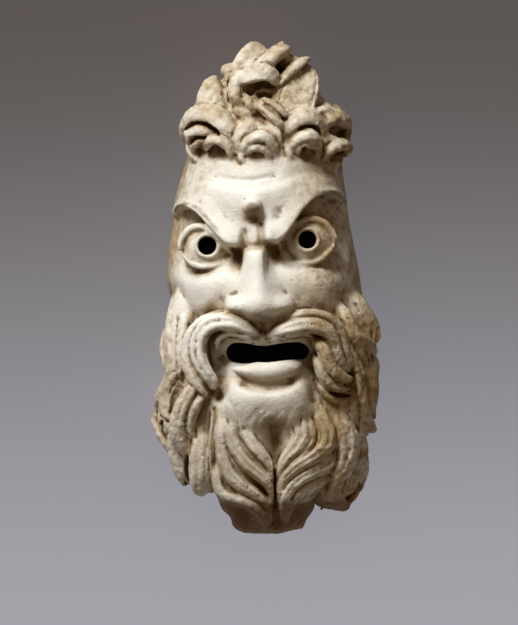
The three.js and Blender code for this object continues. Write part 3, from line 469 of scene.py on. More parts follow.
# Where brown is left, as (x, y, radius across, radius along, share): crust at some places, painted
# shade in the hollows at others.
CRUST_AND_PAINTED_SHADE = [
    # painted shade in the eye sockets, crust and painted shade on and under the knob, and painted shade
    # under the nose
    (-37, 31, 18, 16, 0.22), (35, 37, 19, 18, 0.28), (-5.2, 53.4, 6.4, 6, 0.7), (1, -21, 14, 4, 0.5),
    # painted shade beside the cheeks, crust and painted shade below the chin, and painted shade in the
    # beard's parting
    (-60, -8, 9, 14, 0.25), (60, -8, 11, 16, 0.35), (8, -93, 16, 9, 0.34), (10.4, -110, 7, 13, 0.4),
    # painted shade in the hollows under the curls
    (-41, 99, 7, 5.5, 0.5), (-27, 91, 7, 5.5, 0.5), (-4, 89, 7, 5.5, 0.5), (32, 90, 7, 5.5, 0.5),
    (54, 90, 7, 5.5, 0.5),
]


def through(pairs):
    """A smooth curve through (at, value) pairs, flat beyond both ends."""
    at, value = np.array(pairs, float).T
    before = np.maximum(np.arange(len(at)) - 1, 0)
    after = np.minimum(np.arange(len(at)) + 1, len(at) - 1)
    slope = (value[after] - value[before]) / (at[after] - at[before])

    def curve(where):
        where = np.clip(where, at[0], at[-1])
        i = np.clip(np.searchsorted(at, where, side="right") - 1, 0, len(at) - 2)
        span = at[i + 1] - at[i]
        t = (where - at[i]) / span
        ease = t * t * (3 - 2 * t)
        bend = slope[i] * t * (1 - t) ** 2 - slope[i + 1] * t * t * (1 - t)
        return value[i] + (value[i + 1] - value[i]) * ease + bend * span

    return curve


def outline(stations):
    """The middle, half width and depth over y of a form given as (y, left, right, depth)."""
    y, left, right, depth = np.array(stations, float).T
    return [through(np.column_stack([y, column]))
            for column in ((left + right) / 2, (right - left) / 2, depth)]


BLANK_FORM = outline(BLANK)
SKIN_FORM = outline(HAIR_SKIN)

# The bridge of the nose: its middle, half width and height over y, from the root to the tip.
NOSE_MIDDLE = through([(-20, 0.2), (-10, 0), (-4, -0.4), (10, -1), (25, -1.8)])
NOSE_WIDTH = through([(-25, 8), (-20, 12.5), (-15, 14.4), (-10, 14), (-3, 12.6), (5, 11.4),
                      (12, 10.8), (18, 10), (24, 8.6)])
NOSE_RISE = through([(-25, 0), (-23.4, 4), (-20.6, 12), (-16.4, 18), (-11, 19.4), (-4, 17.2),
                     (4, 14.4), (12, 12.2), (19, 11), (24, 8.6), (28, 1)])

# How far the chin, and the beard that runs on from it, stand out along their middle.
CHIN_RISE = through([(-170, 0), (-150, 0), (-130, 1.5), (-110, 3.5), (-95, 6), (-85, 8), (-76, 8.5),
                     (-68, 5.5), (-62, 0)])

# Where the raised brow mass ends in a fold across the forehead, as y over x.
BROW_FOLD = through([(-60, 62), (-45, 70), (-30, 70), (-8, 66), (12, 70), (32, 75.5), (52, 76)])


def surface_at(form, x, y):
    """Height and outward direction of an outline's surface over points of the picture plane."""
    middle, half, depth = (column(y) for column in form)
    across = np.clip((x - middle) / half, -0.96, 0.96)
    z = depth * (1 - np.abs(across) ** SECTION_POWER) ** (1 / SECTION_POWER)
    lean = np.sign(across) * np.abs(across) ** (SECTION_POWER - 1) / half
    rise = (z / depth) ** (SECTION_POWER - 1) / depth
    out = np.stack([lean, np.zeros_like(lean), rise], axis=-1)
    return z, out / np.linalg.norm(out, axis=-1, keepdims=True)


def smooth(start, end, value):
    """Eases from 0 at the start to 1 at the end."""
    t = np.clip((value - start) / (end - start), 0, 1)
    return t * t * (3 - 2 * t)


def mound(x, y, cx, cy, rx, ry, height):
    return height * np.exp(-(((x - cx) / rx) ** 2) - ((y - cy) / ry) ** 2)


def distance_to(x, y, route):
    """Distance from points of the picture plane to a route, and the share of it passed."""
    near = np.full(np.shape(x), np.inf)
    passed = np.zeros(np.shape(x))
    for i, ((ax, ay), (bx, by)) in enumerate(zip(route, route[1:])):
        dx, dy = bx - ax, by - ay
        t = np.clip(((x - ax) * dx + (y - ay) * dy) / (dx * dx + dy * dy), 0, 1)
        away = np.hypot(x - ax - t * dx, y - ay - t * dy)
        passed = np.where(away < near, (i + t) / (len(route) - 1), passed)
        near = np.minimum(near, away)
    return near, passed


def ridge(x, y, route, width, height):
    """A raised (or, with a height below zero, a cut) line along a route."""
    return height * np.exp(-((distance_to(x, y, route)[0] / width) ** 2))


def signed_distance(x, y, route):
    """Distance to a route that runs left to right, above zero below it."""
    return distance_to(x, y, route)[0] * np.sign(through(route)(x) - y)


def brow_and_socket(x, y, brow):
    """The brow's mass, the roll along its edge, and the hollow below it that holds the eye."""
    start, end = brow[0][0], brow[-1][0]
    inside = smooth(start - 1, start + 3, x) * (1 - smooth(end - 3, end + 1, x))
    near = signed_distance(x, y, brow)
    temple = smooth(34, 60, np.abs(x))
    mass = (3.4 - 1.6 * temple) * smooth(-15, -2.4, near) * (1 - smooth(-0.8, 1.2, near))
    roll = (1.3 + 1.6 * temple) * np.exp(-(((near + 1.9) / 2.1) ** 2))
    hollow = (12.5 - 5.5 * temple) * smooth(-0.6, 2.2, near) * smooth(1, 30, y)
    return inside * (mass + roll - hollow) * (1 - 0.7 * smooth(50, 62, np.abs(x)))


def relief(x, y):
    """How far the carved face stands above the blank (or, below zero, is cut into it)."""
    rise = brow_and_socket(x, y, LEFT_BROW) + brow_and_socket(x, y, RIGHT_BROW)
    fold = BROW_FOLD(x)
    mass = (1 - smooth(-3, 4, y - fold)) * smooth(-24, -4, y - fold)
    rise += 2.2 * mass * (1 - smooth(0.7, 0.95, np.abs(x) / 62))
    for form in MOUNDS:
        rise += mound(x, y, *form)
    for crease in CREASES:
        rise += ridge(x, y, *crease)
    across = (x - NOSE_MIDDLE(y)) / NOSE_WIDTH(y)
    rise += NOSE_RISE(y) * np.exp(-(np.abs(across) ** 2.2))
    rise += CHIN_RISE(y) * np.exp(-(((x - 6) / 31) ** 4))
    # the break below the beard is rough
    broken = 1 - smooth(-156, -140, y)
    rise += broken * (1.6 * np.sin(0.31 * x + 0.2 * y + 1) + 1.2 * np.sin(0.17 * x - 0.33 * y) - 1)
    return rise


def deselect():
    """Leaves object mode's selection empty, because an operator acts on all that is selected."""
    if bpy.context.mode != "OBJECT":
        bpy.ops.object.mode_set(mode="OBJECT")
    bpy.ops.object.select_all(action="DESELECT")


def pick(piece):
    """Selects one piece alone."""
    deselect()
    piece.select_set(True)
    bpy.context.view_layer.objects.active = piece


def pick_all_of(piece):
    """Opens one piece in edit mode with all of it selected."""
    pick(piece)
    bpy.ops.object.mode_set(mode="EDIT")
    bpy.ops.mesh.select_all(action="SELECT")


def corners_of(mesh):
    flat = np.empty(len(mesh.vertices) * 3)
    mesh.vertices.foreach_get("co", flat)
    return flat.reshape(-1, 3)


def normals_of(mesh):
    flat = np.empty(len(mesh.vertices) * 3, np.float32)
    mesh.vertices.foreach_get("normal", flat)
    return flat.reshape(-1, 3).astype(float)


def edges_of(mesh):
    flat = np.empty(len(mesh.edges) * 2, np.int64)
    mesh.edges.foreach_get("vertices", flat)
    return flat.reshape(-1, 2)


def write_corners(mesh, points):
    mesh.vertices.foreach_set("co", np.ascontiguousarray(points, dtype=np.float32).ravel())
    mesh.update()


def write_face_points(mesh, points):
    """Writes points in face millimetres as the frame's metres."""
    write_corners(mesh, (points + (*FACE_ORIGIN, 0)) * MM)


def face_points(mesh):
    return corners_of(mesh) / MM - (*FACE_ORIGIN, 0)


def soften_valleys(mask):
    """Fills the sharp bottoms of valleys, so that locks flow out of each other."""
    mesh = mask.data
    rounds = round((VALLEY_RADIUS * MM / bpy.context.scene.mask_carving.grain) ** 2)
    edges = edges_of(mesh)
    for _ in range(3):
        points, normals = face_points(mesh), normals_of(mesh)
        moved = relaxed(points, edges, rounds) - points
        sunk = (moved * normals).sum(1)
        points += moved * (0.75 * smooth(0, 0.25, sunk) * smooth(6, 14, points[:, 2]))[:, None]
        write_face_points(mesh, points)


def lock_stock(sides, rings):
    """A closed cylinder with many rings, of radius 1 and length 1, that every lock is bent from."""
    deselect()
    bpy.ops.mesh.primitive_cylinder_add(vertices=sides, radius=1, depth=1, end_fill_type="TRIFAN")
    stock = bpy.context.object
    bpy.ops.object.mode_set(mode="EDIT")
    bpy.ops.mesh.select_all(action="DESELECT")
    drawn = bmesh.from_edit_mesh(stock.data)
    for edge in drawn.edges:
        a, b = (v.co.z for v in edge.verts)
        edge.select = abs(a - b) > 0.5
    bmesh.update_edit_mesh(stock.data)
    bpy.ops.mesh.subdivide(number_cuts=rings - 1)
    bpy.ops.object.mode_set(mode="OBJECT")
    return stock


def copy_of(stock, name):
    made = bpy.data.objects.new(name, stock.data.copy())
    bpy.context.collection.objects.link(made)
    return made


def spline(points, count=240):
    """A Catmull-Rom curve through points, evenly spaced along its length."""
    p = np.array(points, float)
    p = np.vstack([p[0], p, p[-1]])
    spans = len(p) - 3
    s = np.linspace(0, spans, count)
    i = np.minimum(s.astype(int), spans - 1)
    t = (s - i)[:, None]
    p0, p1, p2, p3 = p[i], p[i + 1], p[i + 2], p[i + 3]
    v0, v1 = (p2 - p0) / 2, (p3 - p1) / 2
    curve = (2 * p1 - 2 * p2 + v0 + v1) * t**3 + (3 * p2 - 3 * p1 - 2 * v0 - v1) * t**2 + v0 * t + p1
    gone = np.concatenate([[0], np.cumsum(np.linalg.norm(np.diff(curve, axis=0), axis=1))])
    even = np.linspace(0, gone[-1], count)
    return np.stack([np.interp(even, gone, curve[:, k]) for k in range(p.shape[1])], axis=1)


def along_lock(values, t):
    """A smooth value along a lock from evenly spaced ones."""
    return through(list(zip(np.linspace(0, 1, len(values)), values)))(t)


def laid_on_skin(item):
    """The middle line of a lock in space, and the outward direction of the skin below it."""
    route = spline(item["via"])
    z, out = surface_at(SKIN_FORM, route[:, 0], route[:, 1])
    # a lock near the side still shows its face to the front
    out[:, 0] *= SIDE_TURN
    out /= np.linalg.norm(out, axis=1, keepdims=True)
    t = np.linspace(0, 1, len(route))
    lift = along_lock(item["lift"], t)
    if item["sink"]:
        lift -= item["sink"] * (1 - smooth(0, 0.22, t)) + TIP_SINK * smooth(0.82, 1, t)
    return np.column_stack([route, z]) + out * lift[:, None], out


def axes_of(line, out):
    """The directions along, across and up from a middle line, at each of its points."""
    along = np.gradient(line, axis=0)
    along /= np.linalg.norm(along, axis=1, keepdims=True)
    side = np.cross(out, along)
    side /= np.linalg.norm(side, axis=1, keepdims=True)
    return along, side, np.cross(along, side)


def strand_edges(strands):
    """Where a lock's strands meet, as shares of its half width."""
    return np.arange(1, strands) * 2 / strands - 1


def bend_along(made, line, out, half, thick, deep, strands=1, lean=0, scoop=0, power=1.8):
    """Bends a copy of the stock along a middle line, with its front away from the skin."""
    stock = corners_of(made.data)
    # the rings lie closer together towards the ends, which are rounded
    s = np.clip(stock[:, 2] + 0.5, 0, 1)
    t = s - 0.75 * np.sin(2 * np.pi * s) / (2 * np.pi)
    at = t * (len(line) - 1)
    before = np.minimum(at.astype(int), len(line) - 2)
    share = (at - before)[:, None]
    along, side, up = axes_of(line, out)
    place, side, up = (values[before] * (1 - share) + values[before + 1] * share
                       for values in (line, side, up))
    width = SPREAD * along_lock(half, t)
    length = np.linalg.norm(np.diff(line, axis=0), axis=1).sum()
    cap = min(0.4, 0.7 * max(half) / length)
    ends = np.clip(np.minimum(t, 1 - t) / cap, 0, 1)
    rounded = np.sqrt(np.clip(1 - (1 - ends) ** 2, 0.0004, 1))
    # the section is squarer than a circle, higher in front than behind, and split into strands
    radius = np.hypot(stock[:, 0], stock[:, 1])
    turn = np.arctan2(stock[:, 1], stock[:, 0])
    bend = 2 / power
    a = radius * np.sign(np.cos(turn)) * np.abs(np.cos(turn)) ** bend
    b = radius * np.sign(np.sin(turn)) * np.abs(np.sin(turn)) ** bend
    front = thick * np.minimum(1, 0.45 + 0.55 * width / max(half)) * b * (1 - scoop * (1 - a * a))
    if strands > 1:
        groove = sum(np.exp(-(((a - e) * strands / 0.5) ** 2)) for e in strand_edges(strands))
        front *= 1 - 0.14 * np.minimum(groove, 1)
    height = np.where(b > 0, front, deep * b) * rounded
    across = a * width * rounded
    tip = math.radians(lean)
    points = place + side * (across * math.cos(tip))[:, None]
    points += up * (height + across * math.sin(tip))[:, None]
    write_face_points(made.data, points)


def lay_lock(stock, item):
    made = copy_of(stock, "lock")
    line, out = laid_on_skin(item)
    bend_along(made, line, out, item["half"], item["thick"], item["deep"], item["strands"],
               item["lean"], item["scoop"])
    return made


def lay_lid(stock, eye, name, half, thick):
    """An eyelid lies on the ball."""
    made = copy_of(stock, "lid")
    route = spline(eye[name])
    bx, by, bz = eye["ball"]
    off = np.minimum(np.hypot(route[:, 0] - bx, route[:, 1] - by), 0.9 * BALL_RADIUS)
    line = np.column_stack([route, bz + np.sqrt((BALL_RADIUS + 1) ** 2 - off**2)])
    out = line - eye["ball"]
    out[:, :2] *= SIDE_TURN
    out /= np.linalg.norm(out, axis=1, keepdims=True)
    widths = (0.5 * half, 0.9 * half, half, half, 0.6 * half)
    bend_along(made, line, out, widths, thick, 6, power=3)
    return made


def add_egg(middle, radii):
    deselect()
    bpy.ops.mesh.primitive_uv_sphere_add(segments=48, ring_count=32, radius=1)
    made = bpy.context.object
    write_face_points(made.data, corners_of(made.data) * radii + middle)
    return made


def add_iris(eye):
    """The low ring round a pupil, half sunk in the ball."""
    off = math.hypot(eye["pupil"][0] - eye["ball"][0] + IRIS_RADIUS, eye["pupil"][1] - eye["ball"][1])
    z = eye["ball"][2] + math.sqrt(BALL_RADIUS**2 - off**2) + 0.5
    deselect()
    bpy.ops.mesh.primitive_torus_add(major_radius=IRIS_RADIUS, minor_radius=1.2, major_segments=64,
                                     minor_segments=16)
    made = bpy.context.object
    write_face_points(made.data, corners_of(made.data) + (*eye["pupil"], z))
    return made


def add_blank(columns, rows, low, high, inset, carve=None):
    """A closed slab whose front is bent onto the blank's section and carved."""
    deselect()
    bpy.ops.mesh.primitive_grid_add(x_subdivisions=columns, y_subdivisions=rows, size=1)
    made = bpy.context.object
    pick_all_of(made)
    bpy.ops.mesh.extrude_region_move(TRANSFORM_OT_translate={"value": (0, 0, 1)})
    bpy.ops.mesh.select_all(action="SELECT")
    bpy.ops.mesh.normals_make_consistent(inside=False)
    bpy.ops.object.mode_set(mode="OBJECT")
    flat = corners_of(made.data)
    y = low + (flat[:, 1] + 0.5) * (high - low)
    middle, half, depth = (column(y) for column in BLANK_FORM)
    turn = (0.8 * flat[:, 0] + 0.8 * flat[:, 0] ** 3) * math.pi
    sine, cosine = np.sin(turn), np.maximum(np.cos(turn), 0)
    bend = 2 / SECTION_POWER
    x = middle + (half - inset) * np.sign(sine) * np.abs(sine) ** bend
    points = np.column_stack([x, y, (depth - inset) * cosine**bend])
    if carve:
        points += surface_at(BLANK_FORM, x, y)[1] * carve(x, y)[:, None]
    points[:, 2] -= RIM_SPARE * (1 - smooth(0, 12, points[:, 2]))
    points[flat[:, 2] < 0.5, 2] = -1.5 * RIM_SPARE
    write_face_points(made.data, points)
    return made


def add_mouth():
    """A plug of the open mouth's shape, deep enough to cut through the wall."""
    edge = []
    start = np.array(MOUTH_START, float)
    for a, b, end in MOUTH_BENDS:
        for t in np.linspace(0, 1, 12, endpoint=False):
            edge.append((1 - t) ** 3 * start + 3 * (1 - t) ** 2 * t * np.array(a)
                        + 3 * (1 - t) * t * t * np.array(b) + t**3 * np.array(end))
        start = np.array(end, float)
    edge = np.array(edge)
    deselect()
    bpy.ops.mesh.primitive_cylinder_add(vertices=len(edge), radius=1, depth=1, end_fill_type="NGON")
    made = bpy.context.object
    stock = corners_of(made.data)
    top = stock[:, 2] > 0
    # each end's corners and the edge's points are paired in the order of their turn
    turn = np.arctan2(stock[:, 1], stock[:, 0])
    from_middle = edge - edge.mean(0)
    edge = edge[np.argsort(np.arctan2(from_middle[:, 1], from_middle[:, 0]))]
    rank = np.empty(len(stock), int)
    for level in (top, ~top):
        where = np.flatnonzero(level)
        rank[where[np.argsort(turn[where])]] = np.arange(len(edge))
    write_face_points(made.data, np.column_stack([edge[rank], np.where(top, *MOUTH_PLUG[::-1])]))
    return made


def add_drill(pupil, radius):
    deselect()
    bpy.ops.mesh.primitive_cylinder_add(vertices=72, radius=1, depth=1)
    made = bpy.context.object
    write_face_points(made.data, corners_of(made.data) * (radius, radius, 90) + (*pupil, 55))
    return made


def join(pieces, name):
    deselect()
    for piece in pieces:
        piece.select_set(True)
    bpy.context.view_layer.objects.active = pieces[0]
    bpy.ops.object.join()
    pieces[0].name = name
    return pieces[0]


def apply_modifier(piece, kind, **settings):
    pick(piece)
    modifier = piece.modifiers.new(kind.title(), kind)
    for name, value in settings.items():
        setattr(modifier, name, value)
    bpy.ops.object.modifier_apply(modifier=modifier.name)


def cut(piece, tool):
    apply_modifier(piece, "BOOLEAN", operation="DIFFERENCE", solver="MANIFOLD", object=tool)
    bpy.data.objects.remove(tool)


def skin_over(piece):
    """Turns overlapping forms into one closed surface of even grain."""
    grain = bpy.context.scene.mask_carving.grain
    apply_modifier(piece, "REMESH", mode="VOXEL", voxel_size=grain)
    apply_modifier(piece, "SMOOTH", factor=0.5, iterations=1)


def relaxed(values, edges, rounds, share=0.5):
    """Values of a mesh's corners, each drawn towards the mean of its neighbours."""
    count = len(values)
    a, b = edges.T
    degree = np.bincount(a, minlength=count) + np.bincount(b, minlength=count)
    values = np.array(values, float)
    columns = values.reshape(count, -1).T.copy()
    for _ in range(rounds):
        for column in columns:
            mean = np.bincount(a, column[b], count) + np.bincount(b, column[a], count)
            column += share * (mean / np.maximum(degree, 1) - column)
    return columns.T.reshape(values.shape)


def rough_out():
    """The blank with all its locks, lids and rounded masses, as one closed surface."""
    stock = lock_stock(48, 56)
    pieces = [add_blank(240, 480, BLANK[0][0], BLANK[-1][0], 0, relief)]
    pieces += [lay_lock(stock, item) for group in LOCK_GROUPS for item in group]
    pieces.append(lay_lock(stock, LOWER_LIP))
    for eye in EYES:
        pieces.append(add_egg(eye["ball"], (BALL_RADIUS,) * 3))
        pieces.append(add_iris(eye))
        pieces.append(lay_lid(stock, eye, "upper", 1.8, 4))
        pieces.append(lay_lid(stock, eye, "lower", 1.4, 2.8))
    pieces += [add_egg(middle, radii) for middle, radii in EGGS]
    bpy.data.objects.remove(stock)
    mask = join(pieces, "carved_mask")
    skin_over(mask)
    return mask


def open_up(mask):
    """Cuts the hollow back, the mouth, the nostrils, the pupils and the hollows in the hair."""
    radius = bpy.context.scene.mask_carving.pupil_radius / MM
    cut(mask, add_blank(60, 90, *HOLLOW_ENDS, WALL))
    cut(mask, add_mouth())
    stock = lock_stock(24, 24)
    tools = [add_drill(eye["pupil"], radius) for eye in EYES]
    tools += [add_egg(middle, radii) for middle, radii in NOSTRILS]
    tools += [lay_lock(stock, item) for item in GOUGES]
    bpy.data.objects.remove(stock)
    cut(mask, join(tools, "drills_and_gouges"))
    skin_over(mask)


def cuts_along(item, points):
    """How deep a lock's strand lines and side channels cut the points near it, and which."""
    line, out = (values[::3] for values in laid_on_skin(item))
    along, side, up = axes_of(line, out)
    low, high = line.min(0) - 9, line.max(0) + 9
    near = np.flatnonzero(((points > low) & (points < high)).all(1))
    away = points[near, None, :2] - line[None, :, :2]
    i = (away**2).sum(2).argmin(1)
    off = points[near] - line[i]
    across, height, ahead = (np.einsum("ij,ij->i", off, way[i]) for way in (side, up, along))
    t = i / (len(line) - 1)
    half = SPREAD * along_lock(item["half"], t)
    share = np.abs(across) / half
    top = item["thick"] * (1 - np.minimum(share, 1) ** 2.6) ** (1 / 2.6)
    beside = np.abs(ahead) < 1.5
    fade = smooth(0, 0.1, t) * (1 - smooth(0.88, 1, t)) * beside
    on_top = np.exp(-(((height - top) / 2.5) ** 2)) * (share < 1)
    lines = np.zeros(len(near))
    for e in strand_edges(item["strands"]):
        lines += np.exp(-(((across - e * half) / STRAND_LINE) ** 2))
    channel = np.exp(-(((np.abs(across) - half / SPREAD - 0.6) / CHANNEL) ** 2))
    below = 1 - smooth(0.45, 0.95, height / item["thick"])
    return near, np.maximum(STRAND_CUT * lines * on_top * fade, CHANNEL_CUT * channel * below * beside)


def carve_lines(mask):
    """Cuts the lines between strands, the dark channel along each lock, and the strokes."""
    mesh = mask.data
    points = face_points(mesh)
    depth = np.zeros(len(points))
    for group in LOCK_GROUPS:
        for item in group:
            near, cuts = cuts_along(item, points)
            depth[near] = np.maximum(depth[near], cuts)
    for width, reach, routes in STROKES:
        for route in routes:
            low, high = np.min(route, 0) - 4, np.max(route, 0) + 4
            near = np.flatnonzero(((points[:, :2] > low) & (points[:, :2] < high)).all(1)
                                  & (points[:, 2] > 20))
            cuts = ridge(points[near, 0], points[near, 1], route, 2.2 * width, 0.9 * reach)
            depth[near] = np.maximum(depth[near], cuts)
    facing = smooth(0.1, 0.5, normals_of(mesh)[:, 2]) * smooth(18, 26, points[:, 2])
    points[:, 2] -= depth * facing
    write_face_points(mesh, points)


def weather(mask):
    """Wears the surface: soft dents all over, pits, and chips along the crests."""
    mesh = mask.data
    points, normals, edges = face_points(mesh), normals_of(mesh), edges_of(mesh)
    crest = ((points - relaxed(points, edges, 12)) * normals).sum(1)
    x, y, z = points.T
    # hair and beard are chipped more, and the crown, the beard's sides and the break are rougher
    hairy = smooth(0.8, 1.4, ((y - 12) / 82) ** 2 + ((x - 3) / 62) ** 2)
    chipped = (0.5 + 1.6 * hairy) * np.clip(crest * 2.5, 0, 1)
    rough = np.maximum(smooth(84, 96, y), smooth(34, 52, np.abs(x - 4)) * (1 - smooth(-30, -10, y)))
    rough = np.maximum(rough, 1 - smooth(-150, -140, y))
    wear = np.zeros(len(points))
    for i, p in enumerate(points):
        at = Vector(p)
        dents = noise.noise(at * 0.09) * 0.4 + noise.noise(at * 0.31) * (0.14 + 0.4 * rough[i])
        chips = noise.noise(at * 0.19 + Vector((31, 7, 3))) + 0.5 * noise.noise(at * 0.7)
        wear[i] = dents - chipped[i] * max(chips - 0.22, 0)
    wear *= smooth(0, 8, z) * bpy.context.scene.mask_carving.wear
    write_face_points(mesh, points + normals * wear[:, None])


def flatten_back(mask):
    pick_all_of(mask)
    bpy.ops.mesh.bisect(plane_co=(0, 0, 0), plane_no=(0, 0, 1), use_fill=True, clear_inner=True)
    bpy.ops.object.mode_set(mode="OBJECT")


def thin_out(mask):
    """Brings the surface down to the number of triangles allowed, without going below the rim."""
    triangles = sum(len(face.vertices) - 2 for face in mask.data.polygons)
    apply_modifier(mask, "DECIMATE", ratio=min(1, bpy.context.scene.mask_carving.faces / triangles))
    points = corners_of(mask.data)
    points[:, 2] = np.maximum(points[:, 2], 0)
    write_corners(mask.data, points)


def closed_in(mesh):
    """How closed in each point is, by looking out from it in evenly spread ways."""
    points, normals = corners_of(mesh), normals_of(mesh)
    shape = bmesh.new()
    shape.from_mesh(mesh)
    tree = BVHTree.FromBMesh(shape)
    shape.free()
    helper = np.where(np.abs(normals[:, 2:]) < 0.9, (0.0, 0.0, 1.0), (1.0, 0.0, 0.0))
    first = np.cross(normals, helper)
    first /= np.linalg.norm(first, axis=1, keepdims=True) + 1e-12
    second = np.cross(normals, first)
    closed = np.zeros(len(points))
    starts = points + normals * LOOK_START
    golden = math.pi * (3 - math.sqrt(5))
    for look in range(LOOKS):
        up = math.sqrt((look + 0.5) / LOOKS)
        spread = math.sqrt(1 - up * up)
        a, b = math.cos(golden * look) * spread, math.sin(golden * look) * spread
        ways = first * a + second * b + normals * up
        for i, (at, way) in enumerate(zip(starts, ways)):
            hit = tree.ray_cast(at, way, LOOK_REACH)[3]
            if hit is not None:
                closed[i] += 1 - hit / LOOK_REACH
    return closed / LOOKS


def crust_and_painted_shade(mesh):
    """How much brown each point takes: crust along the brows and on the break, and crust and painted
    shade at set places.
    """
    x, y, z = face_points(mesh).T
    crust_and_shade = np.zeros(len(x))
    for place in CRUST_AND_PAINTED_SHADE:
        crust_and_shade += mound(x, y, *place)
    for brow in (LEFT_BROW, RIGHT_BROW):
        on_roll = np.exp(-(((signed_distance(x, y, brow) + 2) / 1.9) ** 2))
        crust_and_shade += 0.42 * on_roll * smooth(18, 40, np.abs(x))
    return crust_and_shade * (z > 30) + 0.55 * (1 - smooth(-152, -140, y)) * (z > 0.5)


def mark_hollows(mask):
    """Writes how closed in each point is, and how far it lies below its surroundings; the second also
    takes the crust and painted shade set at places where that is more.
    """
    mesh = mask.data
    points, edges = corners_of(mesh), edges_of(mesh)
    drop = ((relaxed(points, edges, 14) - points) * normals_of(mesh)).sum(1) / MM
    for name, values in (("hollow", relaxed(closed_in(mesh), edges, 3)),
                         ("drop", np.maximum(drop, crust_and_painted_shade(mesh)))):
        layer = mesh.attributes.new(name, "FLOAT", "POINT")
        layer.data.foreach_set("value", values.astype(np.float32))


def shader_group(name, inputs, outputs):
    group = bpy.data.node_groups.new(name, "ShaderNodeTree")
    for title, kind, default in inputs:
        socket = group.interface.new_socket(name=title, in_out="INPUT", socket_type=kind)
        socket.default_value = default
    for title, kind in outputs:
        group.interface.new_socket(name=title, in_out="OUTPUT", socket_type=kind)
    return group, group.nodes.new("NodeGroupInput"), group.nodes.new("NodeGroupOutput")


def feed(tree, socket, value):
    """Links another node's output to a socket, or sets the socket's own value."""
    if isinstance(value, bpy.types.NodeSocket):
        tree.links.new(value, socket)
    else:
        socket.default_value = value


def math_node(tree, operation, a, b, clamp=False):
    node = tree.nodes.new("ShaderNodeMath")
    node.operation = operation
    node.use_clamp = clamp
    feed(tree, node.inputs[0], a)
    feed(tree, node.inputs[1], b)
    return node.outputs[0]


def ramp(tree, value, low, high, to_low=0.0, to_high=1.0):
    node = tree.nodes.new("ShaderNodeMapRange")
    node.interpolation_type = "SMOOTHSTEP"
    for title, given in (("Value", value), ("From Min", low), ("From Max", high),
                         ("To Min", to_low), ("To Max", to_high)):
        feed(tree, node.inputs[title], given)
    return node.outputs[0]


def noise_node(tree, where, scale, detail=4.0, roughness=0.55):
    node = tree.nodes.new("ShaderNodeTexNoise")
    for title, given in (("Vector", where), ("Scale", scale), ("Detail", detail),
                         ("Roughness", roughness)):
        feed(tree, node.inputs[title], given)
    return node.outputs["Fac"]


def mixed(tree, share, a, b):
    """Goes from colour a to colour b by a share."""
    node = tree.nodes.new("ShaderNodeMix")
    node.data_type = "RGBA"
    for socket, value in zip((node.inputs[0], node.inputs[6], node.inputs[7]), (share, a, b)):
        feed(tree, socket, value)
    return node.outputs[2]


def squares_of(tree, place, x_reach, y_reach):
    """How far out a place is: 1 on an ellipse of the given half axes."""
    squares = [math_node(tree, "POWER", math_node(tree, "DIVIDE", place.outputs[way], reach), 2)
               for way, reach in (("X", x_reach), ("Y", y_reach))]
    return math_node(tree, "ADD", *squares)


